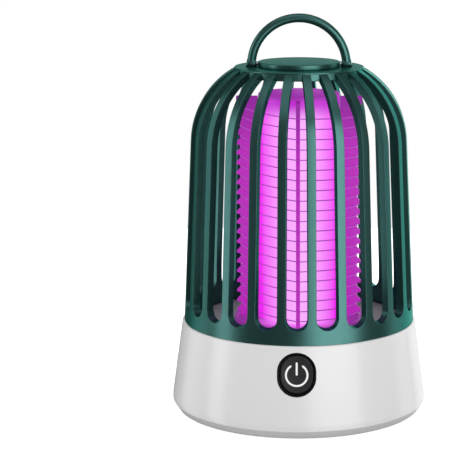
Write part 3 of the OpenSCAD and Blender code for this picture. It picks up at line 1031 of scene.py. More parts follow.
@dataclass
class CageWall:
    """Band, slots and ribs of the cage as one continuous wall."""

    sizes: Measures
    ribs: int = 24
    rib_w: float = 4.0
    depth: float = 3.6
    lean: float = 2.6
    dome_r: float = 41.2
    crown_r: float = 31.2
    crown_lip: float = 0.6
    band_h: float = 6.8
    skirt_ro: float = 53.9
    skirt_ri: float = 52.0
    skirt_h: float = 4.8
    notch_steps: int = 18
    band_rows: int = 5
    wall_rows: int = 9
    dome_rows: int = 16
    across: int = 4
    dome_start: float = 4.0
    dome_passes: int = 8
    notch_passes: int = 20

    def __post_init__(self) -> None:
        """Works out the dome's centre and where the slots start."""
        slope = math.tan(math.radians(self.lean))
        reach = self.dome_r * math.cos(math.radians(self.lean))
        rise = self.dome_r * math.sin(math.radians(self.lean))
        self.slope = slope
        low, out = self.sizes.base_top, self.sizes.cage_r
        self.dome_x = out - self.dome_r - self.dome_start
        for _ in range(self.dome_passes):
            drop = math.sqrt(self.dome_r**2 - (self.crown_r - self.dome_x) ** 2)
            self.dome_z = self.sizes.flat_z - self.crown_lip - drop
            self.dome_x = out - (self.dome_z + rise - low) * slope - reach
        self.half = math.pi / self.ribs
        self.rib_z = low + self.band_h + self.slot_r(out - self.band_h * slope)

    def slot_r(self, out: float) -> float:
        """Radius of a slot's round end at a distance out from the axis."""
        return out * math.tan(self.half) - self.rib_w / 2 / math.cos(self.half)

    def wall_r(self, z: float) -> float:
        """Outer radius of the straight wall at a height."""
        return self.sizes.cage_r - (z - self.sizes.base_top) * self.slope

    def rib_path(self) -> tuple[list[Flat], list[Flat]]:
        """Outer and inner (radius, height) points of a rib above the band.

        Returns:
            The outer points and the inner points, both from the band up.
        """
        thick = self.depth / math.cos(math.radians(self.lean))
        shoulder = self.dome_z + self.dome_r * math.sin(math.radians(self.lean))
        outer, inner = [], []
        for k in range(1, self.wall_rows):
            z = self.rib_z + (shoulder - self.rib_z) * k / self.wall_rows
            outer.append((self.wall_r(z), z))
            inner.append((self.wall_r(z) - thick, z))
        end = math.degrees(math.acos((self.crown_r - self.dome_x) / self.dome_r))
        centre = (self.dome_x, self.dome_z)
        outer += arc(centre, self.dome_r, self.lean, end, self.dome_rows)
        inner += arc(centre, self.dome_r - self.depth, self.lean, end, self.dome_rows)
        return outer, inner

    def column(self, spots: Callable[[bool], tuple[float, float]], angle: float) -> list[Vector]:
        """The band's section at one column, from its outer upper edge round the skirt and up.

        Args:
            spots: Gives (turn from the angle, top height), on the inner face if true.
            angle: The column's own direction in radians.

        Returns:
            Points of the section.
        """
        turn, top = spots(False)
        inner_turn, inner_top = spots(True)
        low = self.sizes.base_top
        foot = low - self.skirt_h
        section: list[tuple[float, float, float]] = []
        for k in range(self.band_rows, -1, -1):
            z = low + (top - low) * k / self.band_rows
            section.append((self.wall_r(z), z, turn))
        section += [
            (self.skirt_ro, low, turn),
            (self.skirt_ro, foot + 0.4, turn),
            (self.skirt_ro - 0.4, foot, turn),
            (self.skirt_ri + 0.4, foot, inner_turn),
            (self.skirt_ri, foot + 0.4, inner_turn),
        ]
        for k in range(self.band_rows + 1):
            z = low + (inner_top - low) * k / self.band_rows
            section.append((self.skirt_ri, z, inner_turn))
        placed = [(r, z, angle + t) for r, z, t in section]
        return [Vector((r * math.cos(t), r * math.sin(t), z)) for r, z, t in placed]

    def notch_spot(self, share: float, inside: bool) -> tuple[float, float]:
        """Where the round end of a slot runs.

        Args:
            share: From -1 to 1 across the slot.
            inside: Whether it is asked for on the inner face.

        Returns:
            (turn from the slot's middle, height).
        """
        swing = share * math.pi / 2
        out, height = self.sizes.cage_r, self.rib_z
        for _ in range(self.notch_passes):
            radius = self.skirt_ri if inside else self.wall_r(height)
            size = self.slot_r(out)
            side = size * math.sin(swing)
            out = math.sqrt(radius**2 - side**2)
            height = self.rib_z - size * math.cos(swing)
        return math.atan2(side, out), height

    def rib_spot(self, side: float, inside: bool) -> tuple[float, float]:
        """Where a rib's column leaves the band.

        Args:
            side: Its sideways offset.
            inside: Whether it is asked for on the inner face.

        Returns:
            (turn from the rib's middle, height).
        """
        radius = self.skirt_ri if inside else self.wall_r(self.rib_z)
        return math.asin(side / radius), self.rib_z

    def build(self) -> bpy.types.Object:
        """Makes the wall.

        Returns:
            The wall, with its edges rounded.
        """
        shape = Shape("cage_wall")
        outer, inner = self.rib_path()
        sides = [self.rib_w * (k / self.across - 0.5) for k in range(self.across + 1)]
        for i in range(self.ribs):
            slot = -math.pi / 2 + 2 * self.half * i
            shares = [2 * k / self.notch_steps - 1 for k in range(self.notch_steps + 1)]
            columns = [
                self.column(lambda inside, s=s: self.notch_spot(s, inside), slot)
                for s in shares
            ]
            shape.net(columns)
            shape.net([[c[0] for c in columns], [c[-1] for c in columns]])
            rib = slot + self.half
            columns = [
                self.column(lambda inside, s=s: self.rib_spot(s, inside), rib)
                for s in sides
            ]
            shape.net(columns)
            self._rib(shape, rib, sides, outer, inner, [(c[0], c[-1]) for c in columns])
        wall = shape.close()
        soften(wall, 0.42, 3, 38.0)
        return wall

    def _rib(
        self,
        shape: Shape,
        turn: float,
        sides: list[float],
        outer: list[Flat],
        inner: list[Flat],
        foot: list[tuple[Vector, Vector]],
    ) -> None:
        """Adds one rib above the band.

        Args:
            shape: The wall's mesh.
            turn: The rib's direction.
            sides: Sideways offsets of its columns.
            outer: Outer (radius, height) points.
            inner: Inner (radius, height) points.
            foot: The band's outer and inner points under each column.
        """
        ahead = Vector((math.cos(turn), math.sin(turn), 0))
        aside = Vector((-math.sin(turn), math.cos(turn), 0))

        def spot(side: float, point: Flat) -> Vector:
            """A point of the rib's surface.

            Args:
                side: Its sideways offset.
                point: Its (radius, height) on the rib's middle.

            Returns:
                The point.
            """
            radius, height = point
            out = math.sqrt(radius**2 - side**2)
            return ahead * out + aside * side + Vector((0, 0, height))

        fronts = [[f[0] for f in foot]] + [[spot(s, p) for s in sides] for p in outer]
        backs = [[f[1] for f in foot]] + [[spot(s, p) for s in sides] for p in inner]
        shape.net(fronts)
        shape.net(backs)
        for edge in (0, -1):
            shape.net([[row[edge] for row in fronts], [row[edge] for row in backs]])
        shape.net([fronts[-1], backs[-1]])


@dataclass
class CageTop:
    """Flat top with its sloped ring, and pockets for the handle's eyes."""

    sizes: Measures
    crown_r: float = 31.2
    thick: float = 3.0
    ring_t: float = 3.4
    ring_drop: float = 3.9
    ring_flare: float = 0.5
    lip: float = 0.6
    eye_x: float = 22.83
    pocket: tuple[float, float, float] = (5.4, 10.0, 1.6)

    def build(self) -> bpy.types.Object:
        """Makes the crown and cuts the pockets.

        Returns:
            The crown.
        """
        top = self.sizes.flat_z
        low = top - self.thick
        foot = top - self.ring_drop
        shape = Shape("cage_top")
        shape.lathe(
            rounded(
                [
                    (0, low, 0),
                    (self.crown_r - self.ring_t, low, 0.3),
                    (self.crown_r - self.ring_t, foot, 0.3),
                    (self.crown_r + self.ring_flare, foot, 0.4),
                    (self.crown_r - 0.15, top - self.lip - 0.2, 0.2),
                    (self.crown_r, top - self.lip, 0.1),
                    (self.crown_r, top, 0.3),
                    (0, top, 0),
                ]
            ),
            240,
        )
        crown = shape.close()
        long, wide, deep = self.pocket
        for side in (-1, 1):
            cutter = Shape("pocket")
            outline = rounded(
                [
                    (-long / 2, -wide / 2, 0.9),
                    (long / 2, -wide / 2, 0.9),
                    (long / 2, wide / 2, 0.9),
                    (-long / 2, wide / 2, 0.9),
                ]
            )
            place = Matrix.Translation((side * self.eye_x, 0, 0))
            cutter.prism(outline, top - deep, top + 1, place)
            join_solid(crown, cutter.close(), "DIFFERENCE")
        soften(crown, 0.25, 2, 50.0)
        return crown


@dataclass
class TopDisc:
    """Raised disc that the handle's pins stand in."""

    sizes: Measures

    def build(self) -> bpy.types.Object:
        """Makes the disc, with a soft upper edge.

        Returns:
            The disc.
        """
        radius, low, top = self.sizes.disc_r, self.sizes.flat_z, self.sizes.disc_top
        shape = Shape("top_disc_cap")
        shape.lathe(
            rounded(
                [
                    (0, low, 0),
                    (radius - 0.15, low, 0.05),
                    (radius, low + 0.3, 0.2),
                    (radius, top, 0.4),
                    (0, top, 0),
                ]
            ),
            240,
        )
        return shape.close()


@dataclass
class Handle:
    """Arched carrying handle with an eye at each end."""

    sizes: Measures
    rod_r: float = 2.15
    eye_r: float = 2.4
    eye_half: float = 2.3
    arch_drop: float = 0.9
    steps: int = 72
    pin_r: float = 0.8
    pin_root: float = 4.0

    @property
    def pivot_z(self) -> float:
        """Height of the pivot."""
        return (self.sizes.flat_z + self.sizes.disc_top) / 2

    @property
    def arch_r(self) -> float:
        """Mean radius of the arch."""
        return self.sizes.handle_top - self.rod_r - self.pivot_z + self.arch_drop

    @property
    def eye_x(self) -> float:
        """Where the middle of an eye is."""
        return math.sqrt(self.arch_r**2 - self.arch_drop**2)

    def build(self) -> bpy.types.Object:
        """Makes the arch and its eyes as one solid.

        Returns:
            The handle.
        """
        start = math.asin(self.arch_drop / self.arch_r)
        path = []
        for k in range(self.steps + 1):
            turn = start + (math.pi - 2 * start) * k / self.steps
            height = self.pivot_z - self.arch_drop + self.arch_r * math.sin(turn)
            path.append(Vector((self.arch_r * math.cos(turn), 0, height)))
        arch = Shape("handle_arch")
        arch.tube(path, self.rod_r, 40)
        handle = arch.close()
        for side in (-1, 1):
            eye = Shape("eye")
            outline = rounded(
                [
                    (0, -self.eye_half, 0),
                    (self.eye_r, -self.eye_half, 0.9),
                    (self.eye_r, self.eye_half, 0.9),
                    (0, self.eye_half, 0),
                ]
            )
            place = Matrix.Translation((side * self.eye_x, 0, self.pivot_z))
            eye.lathe(outline, 64, place @ Matrix.Rotation(math.pi / 2, 4, "Y"))
            join_solid(handle, eye.close(), "UNION")
        handle.data.shade_smooth()
        handle.data.set_sharp_from_angle(angle=math.radians(40))
        return handle

    def build_pins(self) -> bpy.types.Object:
        """Makes the two pivot pins, with domed outer ends.

        Returns:
            Both pins as one piece.
        """
        shape = Shape("pivot_pins")
        inner = self.sizes.disc_r - self.pin_root
        outer = self.eye_x + self.eye_half + 0.1
        for side in (-1, 1):
            outline = rounded(
                [
                    (0, inner, 0),
                    (self.pin_r, inner, 0),
                    (self.pin_r, outer, 0.35),
                    (0, outer, 0),
                ]
            )
            place = Matrix.Translation((0, 0, self.pivot_z))
            shape.lathe(outline, 32, place @ Matrix.Rotation(side * math.pi / 2, 4, "Y"))
        return shape.close()


# ---- Base ----


@dataclass
class BaseHousing:
    """White housing with its button opening and charging inlet, and the cover under it."""

    sizes: Measures
    wall: float = 2.2
    belt_low: float = 4.4
    belt_h: float = 2.6
    ledge_r: float = 57.3
    edge: float = 0.6
    socket_r: float = 54.2
    shelf_drop: float = 5.2
    shelf_t: float = 2.0
    shelf_ri: float = 45.0
    foot_inset: float = 2.6
    cover_low: float = 0.5
    cover_t: float = 2.4
    lip_h: float = 2.0
    lip_t: float = 1.6
    port: tuple[float, float] = (12.5, 7.0)
    port_z: float = 15.25
    feet: int = 4
    foot_r: float = 5.0
    foot_ring: float = 46.0
    screw_ring: float = 55.9
    screw_r: float = 2.8
    recess: float = 1.2
    button_z: float = 30.9

    @property
    def belt_top(self) -> float:
        """Top of the upright belt."""
        return self.belt_low + self.belt_h

    @property
    def tilt(self) -> float:
        """How far the wall leans in, in radians."""
        run = self.sizes.belt_r - self.ledge_r
        return math.atan(run / (self.sizes.base_top - self.edge - self.belt_top))

    def wall_r(self, z: float) -> float:
        """Outer radius of the housing at a height."""
        return self.sizes.belt_r - max(0.0, z - self.belt_top) * math.tan(self.tilt)

    def inner_r(self, z: float) -> float:
        """Inner radius of the housing at a height."""
        return self.wall_r(z) - self.wall / math.cos(self.tilt)

    def build(self, button: ButtonSet) -> bpy.types.Object:
        """Makes the housing.

        Args:
            button: The button set, whose opening is cut.

        Returns:
            The housing.
        """
        top, low = self.sizes.base_top, self.belt_low
        shelf = top - self.shelf_drop
        under = shelf - self.shelf_t
        shape = Shape("base_housing")
        shape.lathe(
            rounded(
                [
                    (self.sizes.belt_r, low, 0.15),
                    (self.sizes.belt_r, self.belt_top, 2.4),
                    (self.ledge_r, top, 0.9),
                    (self.socket_r, top, 0.25),
                    (self.socket_r, shelf, 0.3),
                    (self.shelf_ri, shelf, 0.3),
                    (self.shelf_ri, under, 0.3),
                    (self.inner_r(under), under, 0.5),
                    (self.inner_r(self.belt_top), self.belt_top, 0.5),
                    (self.inner_r(self.belt_top), low, 0.2),
                ]
            ),
            256,
        )
        housing = shape.close()
        join_solid(housing, button.opening(), "DIFFERENCE")
        join_solid(housing, self._port_cutter(), "DIFFERENCE")
        soften(housing, 0.3, 3, 50.0)
        return housing

    def _port_cutter(self) -> bpy.types.Object:
        """The charging inlet's opening as a solid.

        Returns:
            The solid to cut away.
        """
        wide, tall = self.port
        half = (wide - tall) / 2
        outline = arc((half, 0), tall / 2, -90, 90, 16) + arc((-half, 0), tall / 2, 90, 270, 16)
        cutter = Shape("port")
        place = Matrix.Translation((0, 0, self.port_z)) @ Matrix.Rotation(-math.pi / 2, 4, "X")
        cutter.prism(outline, self.sizes.belt_r - 8, self.sizes.belt_r + 6, place)
        return cutter.close()

    def build_cover(self) -> bpy.types.Object:
        """Makes the bottom cover, recessed for its feet and screws.

        Returns:
            The cover.
        """
        low, top = self.cover_low, self.belt_low
        lip_r = self.inner_r(top + self.lip_h) - 0.2
        floor = low + self.cover_t
        shape = Shape("bottom_plate")
        shape.lathe(
            rounded(
                [
                    (0, low, 0),
                    (self.sizes.belt_r - self.foot_inset, low, 0.3),
                    (self.sizes.belt_r, top, 0.12),
                    (lip_r, top, 0.2),
                    (lip_r, top + self.lip_h, 0.3),
                    (lip_r - self.lip_t, top + self.lip_h, 0.3),
                    (lip_r - self.lip_t, floor, 0.3),
                    (0, floor, 0),
                ]
            ),
            256,
        )
        cover = shape.close()
        cutter = Shape("recesses")
        for i in range(self.feet):
            turn = math.tau * i / self.feet
            for ring, radius, start in (
                (self.foot_ring, self.foot_r + 0.1, 0.0),
                (self.screw_ring, self.screw_r, math.pi / 4),
            ):
                spot = Matrix.Rotation(turn + start, 4, "Z") @ Matrix.Translation((ring, 0, 0))
                circle = arc((0, 0), radius, 0, 352.5, 47)
                cutter.prism(circle, low - 1, low + self.recess, spot)
        join_solid(cover, cutter.close(), "DIFFERENCE")
        soften(cover, 0.2, 2, 50.0)
        return cover

    def build_feet(self) -> bpy.types.Object:
        """Makes the rubber feet, dished below.

        Returns:
            All the feet as one piece.
        """
        shape = Shape("foot_pads")
        radius = self.foot_r
        for i in range(self.feet):
            turn = math.tau * i / self.feet
            spot = Matrix.Rotation(turn, 4, "Z") @ Matrix.Translation((self.foot_ring, 0, 0))
            outline = rounded(
                [
                    (0, 0.25, 0),
                    (radius - 1.8, 0.25, 0.2),
                    (radius - 1.5, 0, 0.1),
                    (radius, 0, 0.35),
                    (radius, self.cover_low + self.recess, 0),
                    (0, self.cover_low + self.recess, 0),
                ]
            )
            shape.lathe(outline, 48, spot)
        return shape.close()


@dataclass
class ButtonSet:
    """Opening, bezel, dished cap and power mark, square to the leaning wall."""

    centre_y: float
    centre_z: float
    tilt: float
    radius: float = 9.15
    stretch: float = 2.6
    play: float = 0.1
    rim: float = 1.15
    cap_play: float = 0.25
    bezel_front: float = -0.75
    bezel_back: float = -3.0
    cap_front: float = -1.6
    cap_back: float = -2.5
    dish_r: float = 75.0
    dish: float = 0.5
    mark_r: float = 5.5
    stroke: float = 0.95
    mark_gap: float = 35.0
    mark_drop: float = -0.3
    bar_top: float = 5.8
    bar_low: float = -0.5
    mark_sunk: float = 0.25
    mark_t: float = 1.1
    opening_low: float = -8.2
    stem_low: float = -7.9
    stem_r: float = 2.0
    edge: float = 0.45
    rings: int = 9
    arc_steps: int = 24

    @property
    def place(self) -> Matrix:
        """Where the button is, with +Z out of the wall."""
        spot = Matrix.Translation((0, self.centre_y, self.centre_z))
        return spot @ Matrix.Rotation(math.pi / 2 - self.tilt, 4, "X")

    @property
    def cap_r(self) -> float:
        """Half the cap's width."""
        return self.radius - self.play - self.rim - self.cap_play

    def oblong(self, radius: float, stretch: float) -> list[Flat]:
        """An upright oblong outline.

        Args:
            radius: Half its width.
            stretch: How much taller than wide it is.

        Returns:
            The outline's points.
        """
        up = stretch / 2
        upper = arc((0, up), radius, 0, 180, self.arc_steps)
        lower = arc((0, -up), radius, 180, 360, self.arc_steps)
        return upper + lower

    def turned(self, name: str, section: Sequence[Flat], stretch: float) -> Shape:
        """A closed section carried round the oblong.

        Args:
            name: The piece's name.
            section: (half width, height) points of the section.
            stretch: The oblong's stretch at its outside.

        Returns:
            The shape.
        """
        shape = Shape(name)
        rows = []
        for radius, z in section:
            share = min(1.0, radius / self.cap_r)
            outline = self.oblong(radius, stretch * share)
            rows.append([self.place @ Vector((x, y, z)) for x, y in outline])
        shape.net(rows, ring=True, loop=True)
        return shape

    def opening(self) -> bpy.types.Object:
        """The opening in the housing as a solid.

        Returns:
            The solid to cut away.
        """
        cutter = Shape("button_opening")
        cutter.prism(self.oblong(self.radius, self.stretch), self.opening_low, 4.0, self.place)
        return cutter.close()

    def build_bezel(self) -> bpy.types.Object:
        """Makes the black bezel, sloped down to the cap.

        Returns:
            The bezel.
        """
        outside = self.radius - self.play
        inside = self.cap_r + self.cap_play
        section = rounded(
            [
                (outside, self.bezel_back, 0.1),
                (outside, self.bezel_front, 0.3),
                (inside + 0.25, self.bezel_front - 0.1, 0.25),
                (inside, self.bezel_front - 0.5, 0.15),
                (inside, self.bezel_back, 0.1),
            ]
        )
        return self.turned("bezel_ring", section, self.stretch).close()

    def build_cap(self) -> bpy.types.Object:
        """Makes the dished cap with a rounded edge.

        Returns:
            The cap with its stem.
        """
        flat = self.cap_r - self.edge
        section: list[Flat] = [(0.0, self.cap_front)]
        for k in range(1, self.rings + 1):
            section.append((flat * k / self.rings, self.cap_front))
        section += arc((flat, self.cap_front - self.edge), self.edge, 80, 0, 4)
        section += [(self.cap_r, self.cap_back), (0.0, self.cap_back)]
        shape = self.turned("button_cap", section, self.stretch)
        to_wall = self.place.inverted()
        for vert in shape.mesh.verts:
            spot = to_wall @ vert.co
            fall = self.dish - (spot.x**2 + spot.y**2) / (2 * self.dish_r)
            if spot.z > self.cap_back + 0.1:
                spot.z -= max(0.0, fall)
                vert.co = self.place @ spot
        stem_top = self.cap_back + 0.1
        stem = [
            (0.0, stem_top),
            (self.stem_r, stem_top),
            (self.stem_r, self.stem_low),
            (0.0, self.stem_low),
        ]
        shape.lathe(stem, 32, self.place)
        return shape.close()

    def build_mark(self) -> bpy.types.Object:
        """Makes the power mark: an open ring and a bar, with round ends.

        Returns:
            The mark.
        """
        middle = self.mark_r - self.stroke / 2
        half = self.stroke / 2
        start, end = 90 + self.mark_gap, 450 - self.mark_gap
        drop = self.mark_drop
        turns = [math.radians(t) for t in (start, end)]
        tips = [(middle * math.cos(t), middle * math.sin(t) + drop) for t in turns]
        outline = arc((0, drop), middle + half, start, end, 64)
        outline += arc(tips[1], half, end, end + 180, 8)[1:-1]
        outline += arc((0, drop), middle - half, end, start, 64)
        outline += arc(tips[0], half, start + 180, start + 360, 8)[1:-1]
        bar = arc((0, self.bar_top - half), half, 0, 180, 8)
        bar += arc((0, self.bar_low + half), half, 180, 360, 8)
        front = self.cap_front - self.mark_sunk
        shape = Shape("power_mark")
        for part in (outline, bar):
            shape.prism(part, front - self.mark_t, front, self.place)
        mark = shape.close()
        soften(mark, 0.12, 2, 60.0)
        return mark


# ---- Lamp and grid ----


@dataclass
class Core:
    """Deck, foot, combs, wound wires, diffuser tube and its cap."""

    sizes: Measures
    comb_t: float = 1.75
    tooth_deep: float = 3.0
    tooth_lip: float = 0.7
    tooth_land: float = 0.9
    wire_r: float = 0.27
    wire_gap: float = 4.88
    wire_drop: float = 9.0
    wires: int = 21
    wire_steps: int = 40
    wire_sit: float = 0.35
    wire_out: float = 1.2
    cap_t: float = 1.6
    tube_wall: float = 1.5
    square: float = 0.5
    neck_r: float = 15.8
    neck_bore: float = 11.0
    neck_h: float = 3.5
    deck_t: float = 2.0
    rim_t: float = 2.0
    rim_h: float = 4.5
    line_deep: float = 0.2

    @property
    def comb_top(self) -> float:
        """Top of the combs."""
        return self.sizes.lamp_top - self.cap_t + 0.1

    @property
    def wire_top(self) -> float:
        """Height of the highest wire at the front."""
        return self.sizes.lamp_top - self.wire_drop

    @property
    def wind_r(self) -> float:
        """Radius at which the wires cross the combs."""
        return self.sizes.tip_r - self.tooth_deep + self.wire_out

    def build_deck(self) -> bpy.types.Object:
        """Makes the deck that closes the base under the cage.

        Returns:
            The deck.
        """
        radius, top = self.sizes.deck_r, self.sizes.deck_top
        shape = Shape("deck_disc")
        shape.lathe(
            rounded(
                [
                    (self.neck_r + 0.2, top - self.deck_t, 0.2),
                    (radius - self.rim_t, top - self.deck_t, 0.2),
                    (radius - self.rim_t, top - self.rim_h, 0.2),
                    (radius, top - self.rim_h, 0.2),
                    (radius, top, 0.5),
                    (radius - 3.0, top, 0.1),
                    (radius - 3.2, top - self.line_deep, 0.05),
                    (radius - 3.6, top - self.line_deep, 0.05),
                    (radius - 3.8, top, 0.1),
                    (self.neck_r + 0.2, top, 0.2),
                ]
            ),
            240,
        )
        return shape.close()

    def build_foot(self) -> bpy.types.Object:
        """Makes the round foot of the core.

        Returns:
            The foot.
        """
        radius, top = self.sizes.flange_r, self.sizes.flange_top
        deck = self.sizes.deck_top
        shape = Shape("core_foot")
        shape.lathe(
            rounded(
                [
                    (self.neck_bore, deck - self.neck_h, 0.2),
                    (self.neck_r, deck - self.neck_h, 0.3),
                    (self.neck_r, deck, 0),
                    (radius, deck, 0.15),
                    (radius, top, 0.5),
                    (self.neck_bore, top, 0.2),
                ]
            ),
            240,
        )
        return shape.close()

    def comb_outline(self, first: float, count: int) -> list[Flat]:
        """Side view of a comb.

        Args:
            first: Height of its highest wire.
            count: Number of its notches.

        Returns:
            The outline's points.
        """
        root, tip = self.sizes.lamp_r + 0.2, self.sizes.tip_r
        notch = tip - self.tooth_deep
        low, top = self.sizes.flange_top, self.comb_top
        lip = self.tooth_lip
        outline = [(root, low), (root, top), (tip, top)]
        for k in range(count):
            z = first - k * self.wire_gap + self.wire_sit
            if z + lip < top:
                outline.append((tip, z + lip))
            else:
                outline[-1] = (notch + (top - z) * self.tooth_deep / lip, top)
            outline.append((notch, z))
            outline.append((tip, max(low, z - self.wire_gap + self.tooth_land + lip)))
        if outline[-1][1] > low:
            outline.append((tip, low))
        return outline

    def build_combs(self) -> list[bpy.types.Object]:
        """Makes the four toothed combs.

        Returns:
            The combs. Those at the sides start their notches half a pitch above the others.
        """
        combs = []
        for i in range(4):
            if i % 2 == 0:
                outline = self.comb_outline(self.wire_top + self.wire_gap / 2, self.wires + 1)
            else:
                outline = self.comb_outline(self.wire_top, self.wires)
            turn = Matrix.Rotation(math.tau * i / 4, 4, "Z") @ Matrix.Rotation(math.pi / 2, 4, "X")
            shape = Shape(f"comb_{i + 1}")
            shape.prism(outline, -self.comb_t / 2, self.comb_t / 2, turn)
            comb = shape.close()
            soften(comb, 0.05, 1, 40.0)
            combs.append(comb)
        return combs

    def wind(self, turn: float) -> float:
        """Radius of the winding at a turn: drawn in between the combs, round at them.

        Args:
            turn: The angle about the axis in radians.

        Returns:
            The radius.
        """
        off = abs((turn + math.pi / 4) % (math.pi / 2) - math.pi / 4)
        chord = self.wind_r * math.cos(math.pi / 4) / math.cos(math.pi / 4 - off)
        return self.wind_r + (chord - self.wind_r) * self.square

    def build_wire(self, name: str, start: int) -> bpy.types.Object:
        """Makes one of the two wires, wound down the combs.

        Args:
            name: The piece's name.
            start: 0 or 1, how many half turns down it begins.

        Returns:
            The wire.
        """
        halves = self.wires - start
        path = []
        for k in range(halves * self.wire_steps + 1):
            turn = -math.pi + math.pi * k / self.wire_steps
            radius = self.wind(turn)
            height = self.wire_top - self.wire_gap * (start - 0.5 + k / self.wire_steps)
            path.append(Vector((radius * math.cos(turn), radius * math.sin(turn), height)))
        shape = Shape(name)
        shape.tube(path, self.wire_r, 10)
        return shape.close(60.0)

    def build_tube(self) -> bpy.types.Object:
        """Makes the diffuser tube.

        Returns:
            The tube.
        """
        radius = self.sizes.lamp_r
        low, top = self.sizes.flange_top, self.sizes.lamp_top - self.cap_t
        inner = radius - self.tube_wall
        shape = Shape("diffuser_tube")
        corners = [(inner, low), (radius, low), (radius, top), (inner, top)]
        shape.lathe(rounded([(*corner, 0.2) for corner in corners]), 160)
        return shape.close()

    def build_cap(self) -> bpy.types.Object:
        """Makes the tube's cap, with a fine rim.

        Returns:
            The cap.
        """
        radius, top = self.sizes.lamp_r, self.sizes.lamp_top
        low = top - self.cap_t
        plug = radius - self.tube_wall - 0.1
        shape = Shape("tube_cap")
        shape.lathe(
            rounded(
                [
                    (0, low, 0),
                    (plug - 1.5, low, 0.1),
                    (plug - 1.5, low - 3, 0.2),
                    (plug, low - 3, 0.2),
                    (plug, low, 0.1),
                    (radius, low, 0.15),
                    (radius, top, 0.5),
                    (0, top, 0),
                ]
            ),
            160,
        )
        return shape.close()


# ---- Studio ----


class Reach(str, Enum):
    """What a light panel is for."""

    SHEEN = "sheen"
    FILL = "fill"


@dataclass(frozen=True)
class SoftBox:
    """A soft light panel round the lantern."""

    name: str
    reach: Reach
    azimuth: float
    distance: float
    height: float
    size: tuple[float, float]
    glow: float
    aim: float | None = None

    def build(self) -> None:
        """Adds the panel, facing the axis at the height it aims at, or level."""
        data = bpy.data.lights.new(self.name, "AREA")
        data.shape = "RECTANGLE"
        data.size, data.size_y = self.size
        data.energy = self.glow * math.pi * self.size[0] * self.size[1]
        panel = bpy.data.objects.new(self.name, data)
        turn = math.radians(self.azimuth)
        ahead = Vector((math.sin(turn), -math.cos(turn), 0))
        spot = ahead * self.distance + Vector((0, 0, self.height))
        panel.location = spot
        height = self.height if self.aim is None else self.aim
        panel.rotation_euler = (Vector((0, 0, height)) - spot).to_track_quat("-Z", "Y").to_euler()
        panel.visible_camera = False
        panel.visible_diffuse = self.reach is Reach.FILL
        panel.visible_glossy = self.reach is Reach.SHEEN
        bpy.context.scene.collection.objects.link(panel)


